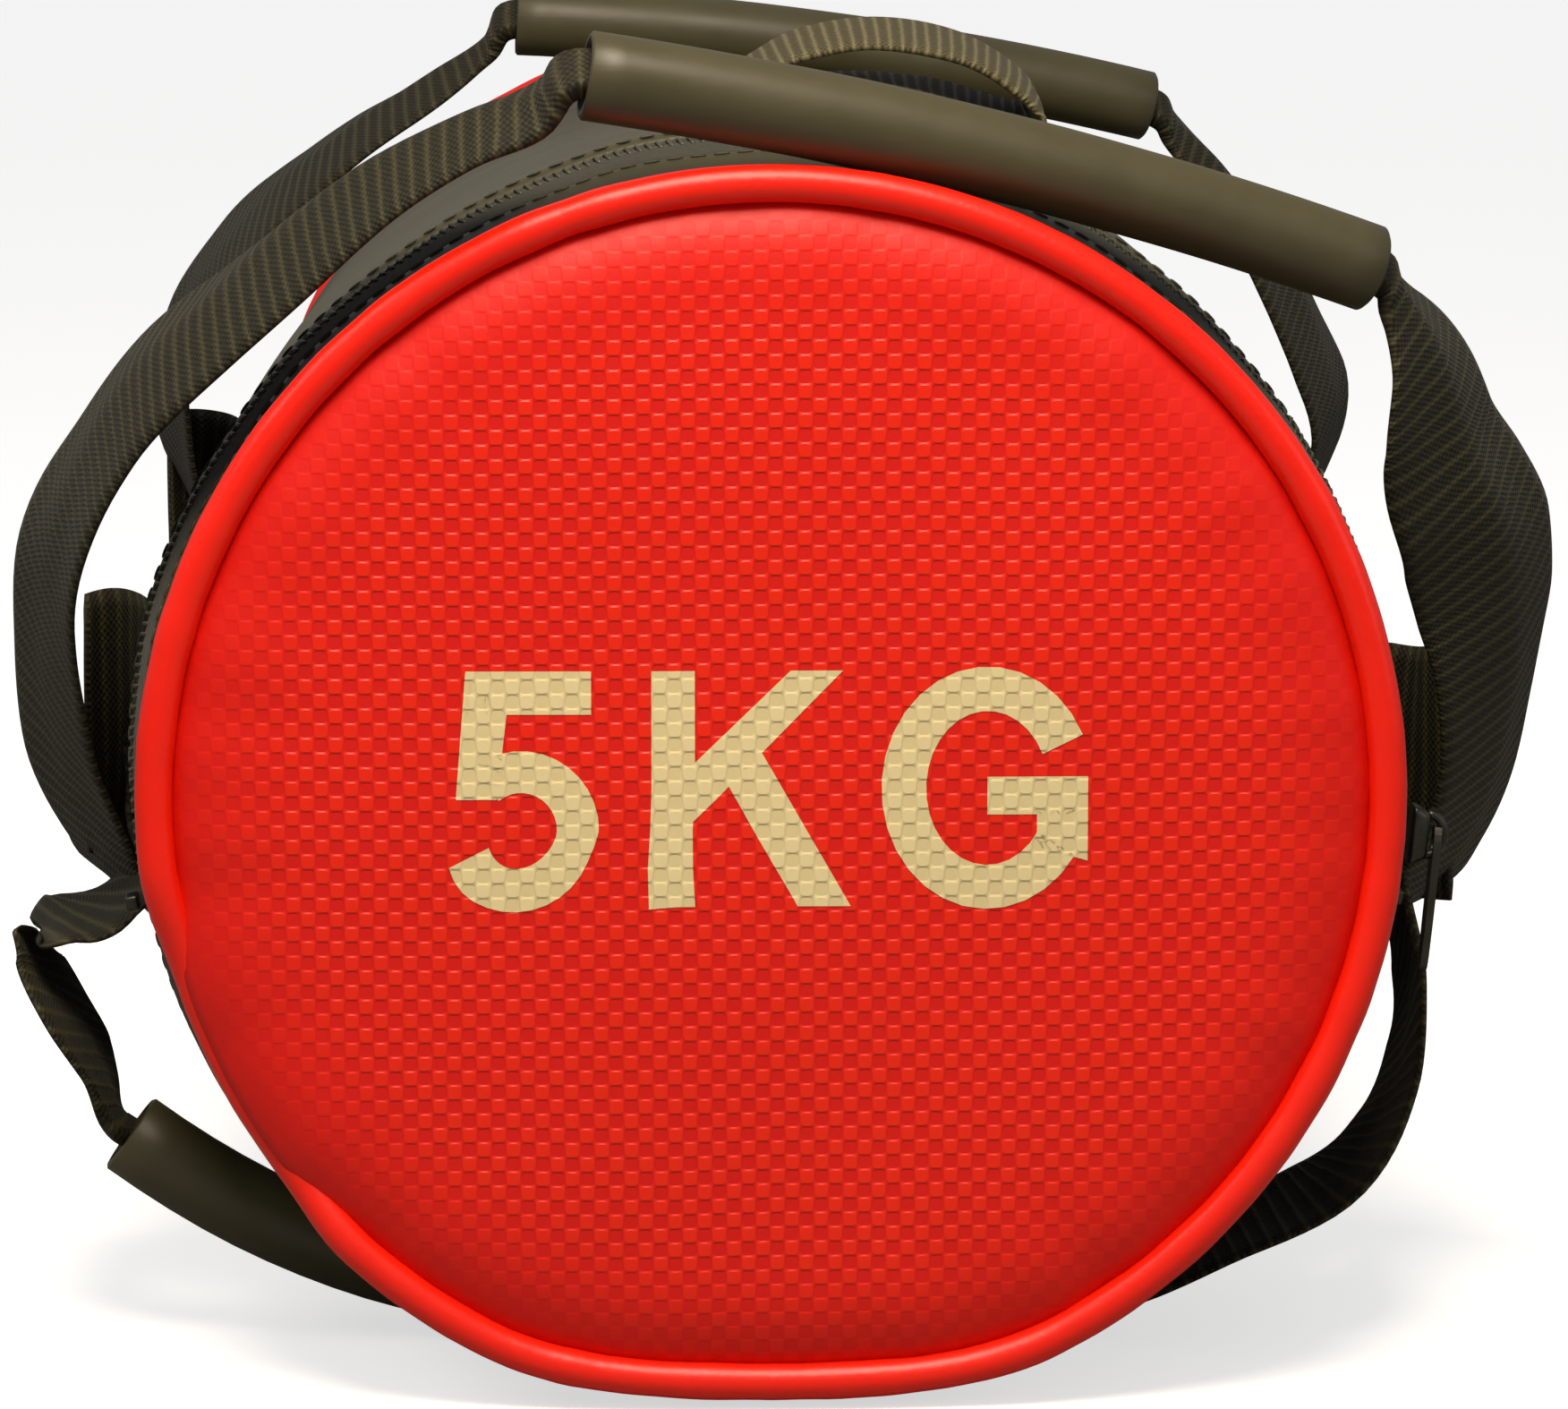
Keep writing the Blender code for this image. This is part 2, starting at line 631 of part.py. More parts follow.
def build_carry_loop(colours):
    """A short webbing loop on top, lying over to the right, and its sewn patch."""
    seat = skin_radius(0.0) + SEWN_GAP
    arc_strip(
        "carry_loop_patch", -LOOP_WIDTH / 2.0 - 0.002, LOOP_WIDTH / 2.0 + 0.002,
        math.radians(-12.0), math.radians(-1.5), seat, seat + WEBBING_THICKNESS, 4, colours["loop_patch"],
    )
    lie = seat + WEBBING_THICKNESS * 0.5 + 0.0006
    lower = [polar(lie, math.radians(a), 0.0) for a in (0.0, 8.0, 16.0, 24.0, 31.0)]
    hinge = polar(lie, 0.0, 0.0)

    def above(degrees, lift):
        return polar(lie + lift, math.radians(degrees), 0.0)

    upper = [
        above(34.5, 0.0040), above(35.5, 0.0090), above(31.5, 0.0142), above(23.0, 0.0168),
        above(14.0, 0.0145), above(6.5, 0.0090), above(1.0, 0.0026),
    ]
    path = smooth_curve([tuple(p) for p in lower + upper], 3)
    across = (0.0, 1.0, 0.0)
    stations = [(p, across, LOOP_WIDTH, WEBBING_THICKNESS) for p in path]
    ribbon("carry_loop", stations, colours["carry_loop"], origin=hinge)


def main():
    clear_scene()
    webbing_rgb = (0.020, 0.020, 0.015)
    grip_rgb = (0.030, 0.031, 0.022)
    red_rgb = (0.750, 0.035, 0.012)
    names = {
        "black_vinyl": ("black vinyl cover", (0.022, 0.022, 0.018), 0.45, 0.0),
        "black_vinyl_band": ("black vinyl band", (0.024, 0.024, 0.019), 0.45, 0.0),
        "near_panel": ("red embossed vinyl near", red_rgb, 0.50, 0.0),
        "far_panel": ("red embossed vinyl far", red_rgb, 0.50, 0.0),
        "near_piping": ("red vinyl piping near", red_rgb, 0.40, 0.0),
        "far_piping": ("red vinyl piping far", red_rgb, 0.40, 0.0),
        "foam_sleeve": ("grey foam sleeve", (0.300, 0.300, 0.310), 0.90, 0.0),
        "near_foam": ("grey foam disc near", (0.320, 0.320, 0.330), 0.90, 0.0),
        "far_foam": ("grey foam disc far", (0.320, 0.320, 0.330), 0.90, 0.0),
        "padding_roll": ("textile padding", (0.420, 0.400, 0.360), 0.95, 0.0),
        "sand_sack": ("woven sack cloth", (0.700, 0.690, 0.650), 0.80, 0.0),
        "sand_fill": ("packed sand", (0.560, 0.440, 0.280), 0.95, 0.0),
        "tape_near": ("zip tape near", (0.030, 0.030, 0.024), 0.80, 0.0),
        "tape_far": ("zip tape far", (0.030, 0.030, 0.024), 0.80, 0.0),
        "zip_coil": ("nylon coil", (0.060, 0.060, 0.048), 0.40, 0.0),
        "stop_left": ("zip stop left metal", (0.350, 0.350, 0.340), 0.35, 1.0),
        "stop_right": ("zip stop right metal", (0.350, 0.350, 0.340), 0.35, 1.0),
        "zip_slider": ("cast zinc slider", (0.080, 0.080, 0.078), 0.35, 1.0),
        "zip_pull": ("cast zinc pull", (0.080, 0.080, 0.078), 0.35, 1.0),
        "left_web": ("left side webbing", webbing_rgb, 0.75, 0.0),
        "right_web": ("right side webbing", webbing_rgb, 0.75, 0.0),
        "near_top_web": ("near top webbing", webbing_rgb, 0.75, 0.0),
        "far_top_web": ("far top webbing", webbing_rgb, 0.75, 0.0),
        "near_low_web": ("near lower webbing", webbing_rgb, 0.75, 0.0),
        "far_low_web": ("far lower webbing", webbing_rgb, 0.75, 0.0),
        "near_top_grip": ("near top grip rubber", grip_rgb, 0.40, 0.0),
        "far_top_grip": ("far top grip rubber", grip_rgb, 0.40, 0.0),
        "near_low_grip": ("near lower grip rubber", grip_rgb, 0.40, 0.0),
        "far_low_grip": ("far lower grip rubber", grip_rgb, 0.40, 0.0),
        "carry_loop": ("carry loop webbing", (0.050, 0.048, 0.030), 0.75, 0.0),
        "loop_patch": ("carry loop patch webbing", (0.050, 0.048, 0.030), 0.75, 0.0),
    }
    colours = {}
    for key, (name, rgb, roughness, metallic) in names.items():
        colours[key] = material(name, rgb, roughness, metallic)

    build_shell(colours)
    build_zip(colours)
    build_side_webbing("left_side_webbing", -1.0, colours["left_web"])
    build_side_webbing("right_side_webbing", 1.0, colours["right_web"])
    build_carry_loop(colours)

    stack = 3.0 * SEWN_GAP + 2.5 * WEBBING_THICKNESS
    side = skin_radius(-ANCHOR_Y) + stack
    size = SIZE_SCALE
    build_top_handle(
        "near_top", -ANCHOR_Y, math.radians(37.0),
        (-0.0290 * size, 0.1425 * size), (0.0960 * size, 0.1025 * size),
        [(-side, -0.010), (-side - SIDE_EASE, 0.002), (-0.1165 * size, 0.020), (-0.1195 * size, 0.040),
         (-0.1140 * size, 0.062), (-0.1010 * size, 0.084), (-0.0800 * size, 0.104), (-0.0560 * size, 0.124)],
        [(0.1090 * size, 0.088), (0.1200 * size, 0.066), (0.1250 * size, 0.040),
         (0.1190 * size, 0.016), (side + SIDE_EASE, 0.002), (side, -0.010)],
        colours["near_top_web"], colours["near_top_grip"],
    )
    side = skin_radius(ANCHOR_Y) + stack
    build_top_handle(
        "far_top", ANCHOR_Y, math.radians(35.0),
        (-0.0430 * size, 0.1345 * size), (0.0850 * size, 0.1125 * size),
        [(-side, -0.010), (-side - SIDE_EASE, 0.002), (-0.1140 * size, 0.022), (-0.1185 * size, 0.044),
         (-0.1150 * size, 0.068), (-0.1020 * size, 0.094), (-0.0720 * size, 0.120)],
        [(0.1110 * size, 0.096), (0.1240 * size, 0.072), (0.1280 * size, 0.044),
         (0.1180 * size, 0.018), (side + SIDE_EASE, 0.002), (side, -0.010)],
        colours["far_top_web"], colours["far_top_grip"],
    )
    build_pinned_handle(
        "near_lower", -ANCHOR_Y, -PINNED_Y, colours["near_low_web"], colours["near_low_grip"],
    )
    build_pinned_handle(
        "far_lower", ANCHOR_Y, PINNED_Y, colours["far_low_web"], colours["far_low_grip"],
    )


main()
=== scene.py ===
import math

import bmesh
import bpy
from mathutils import Matrix, Vector, noise


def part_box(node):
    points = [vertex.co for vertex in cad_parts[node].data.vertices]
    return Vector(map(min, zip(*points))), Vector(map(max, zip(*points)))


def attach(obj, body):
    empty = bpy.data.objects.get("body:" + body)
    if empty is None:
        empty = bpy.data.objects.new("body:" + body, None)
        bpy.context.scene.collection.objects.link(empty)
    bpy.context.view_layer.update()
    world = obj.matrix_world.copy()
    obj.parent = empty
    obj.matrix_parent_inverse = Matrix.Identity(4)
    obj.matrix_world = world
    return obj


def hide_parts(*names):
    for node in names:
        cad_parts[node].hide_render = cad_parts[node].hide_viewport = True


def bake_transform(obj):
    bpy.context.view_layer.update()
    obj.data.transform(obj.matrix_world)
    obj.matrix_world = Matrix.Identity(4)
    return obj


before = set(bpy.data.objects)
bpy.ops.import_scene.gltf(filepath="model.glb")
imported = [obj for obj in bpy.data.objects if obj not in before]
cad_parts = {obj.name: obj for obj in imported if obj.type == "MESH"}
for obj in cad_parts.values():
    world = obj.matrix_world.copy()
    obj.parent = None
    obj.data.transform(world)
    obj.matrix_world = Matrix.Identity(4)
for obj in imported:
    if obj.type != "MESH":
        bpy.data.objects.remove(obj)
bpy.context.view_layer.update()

# Sizes of the bag, in metres. The grips are a little slimmer than their solids
RIM = 0.1000
HALF_FLAT = 0.0250
AXIS = math.sqrt(RIM ** 2 - HALF_FLAT ** 2)
HALF = 0.2500
TIGHT_COVER = 0.0975
ZIP_Y = 0.2150
ANCHOR_Y = 0.1600
PINNED_Y = 0.1900
PIPING = 0.0030
GRIP_OUT = 0.0070
GRIP_IN = 0.0055
GRIP_ARCH = 0.0040
LOOP_HINGE_RADIUS = 0.1018

# Where the ends are sewn to the rim, and where the zip's tapes are sewn to the cover
END_RADIUS = RIM - 2.0 * PIPING + 0.0002
END_SEAM_Y = HALF - 0.0060
TAPE_NEAR = ZIP_Y + 0.0071
TAPE_FAR = ZIP_Y - 0.0071
ZIP_REACH = math.radians(100.0)

# Half the width of the webbing sewn along each side, as a turn about the bag's axis
SEWN_TURN = 0.185

CHECKER = 0.0023
AROUND = 288
COVER_WALL = 0.0013
THREAD_LIFT = 0.0020


# ---------------------------------------------------------------- materials

def linear(code):
    """An sRGB hex colour as linear RGBA."""
    parts = [int(code[i:i + 2], 16) / 255.0 for i in (1, 3, 5)]
    lit = [p / 12.92 if p <= 0.04045 else ((p + 0.055) / 1.055) ** 2.4 for p in parts]
    return (*lit, 1.0)


def add(tree, kind, settings=(), links=()):
    """Add a node, with its settings and the sockets that feed it."""
    made = tree.nodes.new("ShaderNode" + kind)
    for name, value in dict(settings).items():
        if isinstance(name, str) and hasattr(made, name):
            setattr(made, name, value)
        else:
            made.inputs[name].default_value = value
    for name, socket in dict(links).items():
        tree.links.new(socket, made.inputs[name])
    return made


def finish(name, shader_settings):
    """A new material with its shader and its place on the object, ready for the nodes that feed it."""
    made = bpy.data.materials.new(name)
    made.use_nodes = True
    tree = made.node_tree
    shader = tree.nodes["Principled BSDF"]
    for socket, value in shader_settings.items():
        shader.inputs[socket].default_value = value
    return made, tree, shader, add(tree, "TexCoord").outputs["Object"]


def lay(tree, shader, colour=None, roughness=None, height=None, depth=0.0003, strength=1.0, normal=None):
    """Feed the shader's colour and roughness, and a bump of the given depth in metres."""
    if colour is not None:
        tree.links.new(colour, shader.inputs["Base Color"])
    if roughness is not None:
        tree.links.new(roughness, shader.inputs["Roughness"])
    if height is not None:
        links = {"Height": height}
        if normal is not None:
            links["Normal"] = normal
        bump = add(tree, "Bump", {"Strength": strength, "Distance": depth}, links)
        tree.links.new(bump.outputs["Normal"], shader.inputs["Normal"])
        return bump.outputs["Normal"]
    return None


def checker_emboss(tree, place):
    wander = add(tree, "TexNoise", {"Scale": 22.0, "Detail": 2.0}, {"Vector": place})
    shift = add(tree, "VectorMath", {"operation": "MULTIPLY_ADD", 1: (0.0011, 0.0, 0.0011)},
                {0: wander.outputs["Color"], 2: place})
    split = add(tree, "SeparateXYZ", (), {0: shift.outputs[0]})
    waves = []
    for axis in ("X", "Z"):
        turn = add(tree, "Math", {"operation": "MULTIPLY", 1: math.pi / CHECKER}, {0: split.outputs[axis]})
        waves.append(add(tree, "Math", {"operation": "SINE"}, {0: turn.outputs[0]}).outputs[0])
    cross = add(tree, "Math", {"operation": "MULTIPLY"}, {0: waves[0], 1: waves[1]})
    steep = add(tree, "Math", {"operation": "MULTIPLY_ADD", 1: 2.6, 2: 0.5, "use_clamp": True},
                {0: cross.outputs[0]})
    middle = add(tree, "VectorMath", {"operation": "MULTIPLY_ADD", 1: (1.0, 0.0, 1.0), 2: (0.0, 0.0, -AXIS)},
                 {0: place})
    far = add(tree, "VectorMath", {"operation": "LENGTH"}, {0: middle.outputs[0]})
    fade = add(tree, "MapRange", {"From Min": 0.074, "From Max": 0.0925, "To Min": 1.0, "To Max": 0.10},
               {"Value": far.outputs["Value"]})
    return steep.outputs[0], fade.outputs[0]


def embossed_vinyl(name, light, dark, shade_depth):
    """PVC coated cloth, hot rolled: small raised squares in a checker, bumped so they catch the light, and
    also painted lighter than the sunken ones as a painted highlight and painted shade.
    """
    made, tree, shader, place = finish(name, {"IOR": 1.52, "Roughness": 0.45, "Specular IOR Level": 0.35})
    steep, fade = checker_emboss(tree, place)
    share = add(tree, "Math", {"operation": "MULTIPLY"}, {0: steep, 1: fade})
    cloud = add(tree, "TexNoise", {"Scale": 9.0, "Detail": 3.0, "Roughness": 0.6}, {"Vector": place})
    drift = add(tree, "Math", {"operation": "MULTIPLY_ADD", 1: 0.35, 2: -0.17}, {0: cloud.outputs["Fac"]})
    # Painted highlight and shade: the raised squares are painted towards the lighter colour and the sunken
    # ones stay darker, fading towards the rim, over a random drift of tone.
    painted_light_and_tone = add(tree, "Math", {"operation": "MULTIPLY_ADD", 1: shade_depth, "use_clamp": True},
               {0: share.outputs[0], 2: drift.outputs[0]})
    colour = add(tree, "Mix", {"data_type": "RGBA", 6: linear(dark), 7: linear(light)}, {0: painted_light_and_tone.outputs[0]})
    rough = add(tree, "MapRange", {"To Min": 0.50, "To Max": 0.36}, {"Value": share.outputs[0]})
    grain = add(tree, "TexNoise", {"Scale": 1400.0, "Detail": 2.0}, {"Vector": place})
    fine = lay(tree, shader, height=grain.outputs["Fac"], depth=0.00004, strength=0.5)
    lay(tree, shader, colour.outputs[2], rough.outputs[0], share.outputs[0], 0.00022, 0.75, fine)
    return made


def smooth_vinyl(name, light, dark, rough):
    """Soft PVC with a fine leather grain: an even colour that dulls where it has been handled."""
    made, tree, shader, place = finish(name, {"IOR": 1.52, "Roughness": rough, "Specular IOR Level": 0.4})
    cloud = add(tree, "TexNoise", {"Scale": 14.0, "Detail": 4.0, "Roughness": 0.6}, {"Vector": place})
    colour = add(tree, "Mix", {"data_type": "RGBA", 6: linear(dark), 7: linear(light)},
                 {0: cloud.outputs["Fac"]})
    worn = add(tree, "MapRange",
               {"From Min": 0.3, "From Max": 0.7, "To Min": rough - 0.06, "To Max": rough + 0.08},
               {"Value": cloud.outputs["Fac"]})
    cells = add(tree, "TexVoronoi", {"Scale": 900.0, "feature": "SMOOTH_F1"}, {"Vector": place})
    lay(tree, shader, colour.outputs[2], worn.outputs[0], cells.outputs["Distance"], 0.00006, 0.6)
    return made


def woven_webbing(name, light, dark, rib=3.0):
    """Polypropylene webbing: heavy weft ribs, rib mm apart, and warp yarns that show as rows of beads."""
    bead = 1.1
    made, tree, shader, place = finish(name, {"IOR": 1.49, "Roughness": 0.62, "Sheen Weight": 0.04,
                                       "Sheen Roughness": 0.4, "Specular IOR Level": 0.35})
    cloth = add(tree, "Attribute", {"attribute_name": "cloth"}).outputs["Vector"]
    wander = add(tree, "TexNoise", {"Scale": 0.35, "Detail": 2.0}, {"Vector": cloth})
    shift = add(tree, "VectorMath", {"operation": "MULTIPLY_ADD", 1: (0.6, 0.5, 0.0)},
                {0: wander.outputs["Color"], 2: cloth})
    split = add(tree, "SeparateXYZ", (), {0: shift.outputs[0]})
    waves = {}
    for word, axis, pitch in (("rib", "X", rib), ("weft", "X", bead), ("warp", "Y", bead * 1.15)):
        turn = add(tree, "Math", {"operation": "MULTIPLY", 1: 2.0 * math.pi / pitch},
                   {0: split.outputs[axis]})
        waves[word] = add(tree, "Math", {"operation": "SINE"}, {0: turn.outputs[0]}).outputs[0]
    beads = add(tree, "Math", {"operation": "MULTIPLY"}, {0: waves["weft"], 1: waves["warp"]})
    raised = add(tree, "MapRange", {"From Min": -1.0, "From Max": 1.0}, {"Value": waves["rib"]})
    ribs = add(tree, "Math", {"operation": "POWER", 1: 3.0}, {0: raised.outputs[0]})
    height = add(tree, "Math", {"operation": "MULTIPLY_ADD", 1: 0.35},
                 {0: beads.outputs[0], 2: ribs.outputs[0]})
    fuzz = add(tree, "TexNoise", {"Scale": 1600.0, "Detail": 2.0}, {"Vector": place})
    faint = add(tree, "Math", {"operation": "MULTIPLY", 1: 0.35}, {0: fuzz.outputs["Fac"]})
    # Painted highlight and shade: the ribs and beads are painted lighter and the grooves between them darker,
    # with random fuzz.
    painted_light_and_tone = add(tree, "Math", {"operation": "MULTIPLY_ADD", 1: 0.55, "use_clamp": True},
               {0: height.outputs[0], 2: faint.outputs[0]})
    colour = add(tree, "Mix", {"data_type": "RGBA", 6: linear(dark), 7: linear(light)}, {0: painted_light_and_tone.outputs[0]})
    rough = add(tree, "MapRange", {"To Min": 0.78, "To Max": 0.52}, {"Value": painted_light_and_tone.outputs[0]})
    lay(tree, shader, colour.outputs[2], rough.outputs[0], height.outputs[0], 0.00028, 0.9)
    return made


def grip_rubber(name, light, dark):
    """Extruded rubber tube: satin, with faint lengthwise die lines and a bloom of dust."""
    made, tree, shader, place = finish(name, {"IOR": 1.52, "Roughness": 0.46, "Specular IOR Level": 0.45})
    stretch = add(tree, "VectorMath", {"operation": "MULTIPLY", 1: (60.0, 900.0, 900.0)}, {0: place})
    lines = add(tree, "TexNoise", {"Scale": 1.0, "Detail": 2.0}, {"Vector": stretch.outputs[0]})
    dust = add(tree, "TexNoise", {"Scale": 55.0, "Detail": 5.0, "Roughness": 0.7}, {"Vector": place})
    colour = add(tree, "Mix", {"data_type": "RGBA", 6: linear(dark), 7: linear(light)},
                 {0: dust.outputs["Fac"]})
    rough = add(tree, "MapRange", {"From Min": 0.3, "From Max": 0.7, "To Min": 0.38, "To Max": 0.54},
                {"Value": dust.outputs["Fac"]})
    lay(tree, shader, colour.outputs[2], rough.outputs[0], lines.outputs["Fac"], 0.00005, 0.5)
    return made


def tape_cloth(name, light, dark):
    """Knitted polyester zip tape: fine ribs 0.8 mm apart that run along it."""
    made, tree, shader, place = finish(name, {"IOR": 1.5, "Roughness": 0.8, "Sheen Weight": 0.1})
    split = add(tree, "SeparateXYZ", (), {0: place})
    turn = add(tree, "Math", {"operation": "MULTIPLY", 1: 2.0 * math.pi / 0.0008}, {0: split.outputs["Y"]})
    ribs = add(tree, "Math", {"operation": "SINE"}, {0: turn.outputs[0]})
    fuzz = add(tree, "TexNoise", {"Scale": 1100.0, "Detail": 2.0}, {"Vector": place})
    colour = add(tree, "Mix", {"data_type": "RGBA", 6: linear(dark), 7: linear(light)},
                 {0: fuzz.outputs["Fac"]})
    lay(tree, shader, colour.outputs[2], None, ribs.outputs[0], 0.0001, 0.6)
    return made


def moulded(name, light, dark, rough, metallic=0.0):
    """Moulded nylon, cast zinc or spun thread: small mottling and a fine skin."""
    made, tree, shader, place = finish(name, {"Roughness": rough, "Metallic": metallic})
    mottle = add(tree, "TexNoise", {"Scale": 300.0, "Detail": 3.0}, {"Vector": place})
    colour = add(tree, "Mix", {"data_type": "RGBA", 6: linear(dark), 7: linear(light)},
                 {0: mottle.outputs["Fac"]})
    worn = add(tree, "MapRange", {"To Min": rough - 0.08, "To Max": rough + 0.08},
               {"Value": mottle.outputs["Fac"]})
    lay(tree, shader, colour.outputs[2], worn.outputs[0], mottle.outputs["Fac"], 0.00005, 0.4)
    return made


def screen_ink(name, light, dark):
    """Screen printed ink over the embossing: flat and chalky, with the raised squares painted lighter as a
    painted highlight, and random specks.
    """
    made, tree, shader, place = finish(name, {"IOR": 1.5, "Roughness": 0.6, "Specular IOR Level": 0.3})
    steep = checker_emboss(tree, place)[0]
    speck = add(tree, "TexNoise", {"Scale": 700.0, "Detail": 3.0}, {"Vector": place})
    faint = add(tree, "Math", {"operation": "MULTIPLY", 1: 0.4}, {0: speck.outputs["Fac"]})
    # Painted highlight: the ink is lighter on the raised squares.
    painted_highlight_and_speck = add(tree, "Math", {"operation": "MULTIPLY_ADD", 1: 0.6, "use_clamp": True},
                {0: steep, 2: faint.outputs[0]})
    colour = add(tree, "Mix", {"data_type": "RGBA", 6: linear(dark), 7: linear(light)}, {0: painted_highlight_and_speck.outputs[0]})
    lay(tree, shader, colour.outputs[2], None, steep, 0.00022, 0.7)
    return made


def fibre_fill(name, light, dark, scale, depth):
    """Foam, packed textile or sand that is hidden inside: open cells or grains at their own scale."""
    made, tree, shader, place = finish(name, {"Roughness": 0.92})
    cells = add(tree, "TexVoronoi", {"Scale": scale}, {"Vector": place})
    colour = add(tree, "Mix", {"data_type": "RGBA", 6: linear(light), 7: linear(dark)},
                 {0: cells.outputs["Distance"]})
    lay(tree, shader, colour.outputs[2], None, cells.outputs["Distance"], depth, 0.8)
    return made


# The red cloth's lighter colour is a painted highlight on its raised squares.
red_vinyl = embossed_vinyl("embossed red PVC cloth", "#ff310c", "#dc1003", 0.55)
red_piping = smooth_vinyl("smooth red PVC piping", "#fa2208", "#f01a05", 0.34)
black_vinyl = smooth_vinyl("black PVC cover cloth", "#4c472d", "#3a3620", 0.42)
# In both woven webbings the lighter colour is a painted highlight on the ribs and beads, and the darker one
# painted shade in the grooves.
webbing_black = woven_webbing("black woven webbing", "#454023", "#0b0904")
# The carry loop and its patch use a lighter olive copy of the woven webbing.
webbing_olive = woven_webbing("light olive webbing", "#8f8560", "#3a3521", 2.4)
rubber = grip_rubber("black rubber grip tube", "#4f4a31", "#3f3b27")
tape = tape_cloth("black zip tape", "#3b3a2c", "#25241a")
coil_nylon = moulded("black nylon coil", "#56533e", "#302e20", 0.4)
thread = moulded("black sewing thread", "#4a4836", "#24231a", 0.6)
zinc = moulded("blackened cast zinc", "#5a5953", "#3a3934", 0.38, 1.0)
ink = screen_ink("cream screen ink", "#e8d8a6", "#dac996")


# ---------------------------------------------------------------- mesh tools

def ease(value):
    """Smooth step between 0 and 1."""
    value = min(max(value, 0.0), 1.0)
    return value * value * (3.0 - 2.0 * value)


def soft_min(a, b, k):
    """The smaller of two lengths, rounded where they meet."""
    near = max(k - abs(a - b), 0.0) / k
    return min(a, b) - near * near * k * 0.25


def piece(name, verts, faces, material, body, stands_for=(), cloth=None, smooth=True):
    """One mesh of the object. It rides on a body, unless body is None and it is left unattached."""
    mesh = bpy.data.meshes.new(name)
    mesh.from_pydata([tuple(v) for v in verts], [], faces)
    mesh.validate()
    if cloth is not None:
        along = mesh.attributes.new("cloth", "FLOAT_VECTOR", "POINT")
        along.data.foreach_set("vector", [number for row in cloth for number in row])
    mesh.materials.append(material)
    mesh.polygons.foreach_set("use_smooth", [smooth] * len(mesh.polygons))
    mesh.update()
    made = bpy.data.objects.new(name, mesh)
    bpy.context.scene.collection.objects.link(made)
    if body is not None:
        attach(made, body)
    if stands_for:
        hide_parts(*stands_for)
    return made


def quads(rows, columns, start=0, join_rows=False, join_columns=True):
    """Faces between rows of points."""
    faces = []
    for row in range(rows if join_rows else rows - 1):
        after = (row + 1) % rows
        for column in range(columns if join_columns else columns - 1):
            right = (column + 1) % columns
            faces.append((start + row * columns + column, start + row * columns + right,
                          start + after * columns + right, start + after * columns + column))
    return faces


def capped(rows, columns):
    """Faces of a tube of rings, closed at both ends."""
    last = (rows - 1) * columns
    return quads(rows, columns) + [tuple(range(columns)), tuple(range(last, last + columns))]


def outward(made):
    """Turn the faces to look out of a closed mesh."""
    work = bmesh.new()
    work.from_mesh(made.data)
    bmesh.ops.recalc_face_normals(work, faces=work.faces)
    if work.calc_volume(signed=True) < 0.0:
        bmesh.ops.reverse_faces(work, faces=work.faces)
    work.to_mesh(made.data)
    work.free()
    return made


def flowing(points, count):
    """Catmull-Rom rows of numbers through the given rows."""
    rows = [[2.0 * a - b for a, b in zip(points[0], points[1])], *points,
            [2.0 * a - b for a, b in zip(points[-1], points[-2])]]
    made = []
    for index in range(1, len(rows) - 2):
        a, b, c, d = rows[index - 1:index + 3]
        for step in range(count):
            t = step / count
            made.append([0.5 * (2 * q + (r - p) * t + (2 * p - 5 * q + 4 * r - s) * t * t
                                + (3 * q - p - 3 * r + s) * t * t * t) for p, q, r, s in zip(a, b, c, d)])
    made.append(list(points[-1]))
    return made


# ---------------------------------------------------------------- the bag's skin

def skin_radius(y):
    """Radius of the cover, which swells a little between its tight rims."""
    share = (y + HALF) / (2.0 * HALF)
    swell = 0.0060 - 0.0070 * share
    return TIGHT_COVER + swell * ease((HALF - abs(y) - 0.0150) / 0.0220)


def pinned_height(x):
    """Height of the centre line of a grip that lies under the bag."""
    past = max(-0.0350 - x, 0.0)
    return 0.0078 + 0.0260 * (past / 0.0700) ** 2


def underside(x, y):
    """Height the cover is pushed up to by the pinned grips."""
    across = abs(abs(y) - PINNED_Y)
    fade = 1.0 - ease((across - 0.0088) / 0.0125)
    if fade <= 0.0:
        return 0.0
    slope = (pinned_height(x + 0.0005) - pinned_height(x - 0.0005)) / 0.001
    top = pinned_height(x) + 0.0084 * math.sqrt(1.0 + slope ** 2)
    along = ease((x - 0.029) / 0.020)
    top = top * (1.0 - along) + 0.0072 * along
    return top * ease((x + 0.088) / 0.006) * fade


def rolled(angle, side):
    """How far the rim is rolled under at the lower left of the marked end, by the folded handle."""
    away = abs((math.degrees(angle) - 243.0 + 180.0) % 360.0 - 180.0)
    return (1.0 - ease((away - 9.0) / 12.0)) if side < 0.0 else 0.0


def crumple(angle, y):
    """Soft puckers of the cover: tight gathers by the sewn rims, and lazy folds between them."""
    gathers = 0.0
    for seam, seed in ((-HALF + 0.004, 3.1), (HALF - 0.004, 8.7)):
        close = math.exp(-abs(y - seam) / 0.022)
        ripple = noise.noise(Vector((math.sin(angle) * 6.5, math.cos(angle) * 6.5, seed)))
        gathers += 0.0016 * close * ripple
    folds = noise.noise(Vector((math.sin(angle) * 1.6, math.cos(angle) * 1.6, y * 11.0 + 2.0)))
    return gathers + 0.0018 * folds * ease((HALF - abs(y)) / 0.05)


def skin(angle, y, lift=0.0):
    """Point on the bag at an angle from the top, lift metres off the cover."""
    reach = skin_radius(y) + crumple(angle, y) + lift
    x = reach * math.sin(angle)
    z = AXIS + reach * math.cos(angle)
    return Vector((x, y, max(z, underside(x, y) - min(lift, 0.0))))


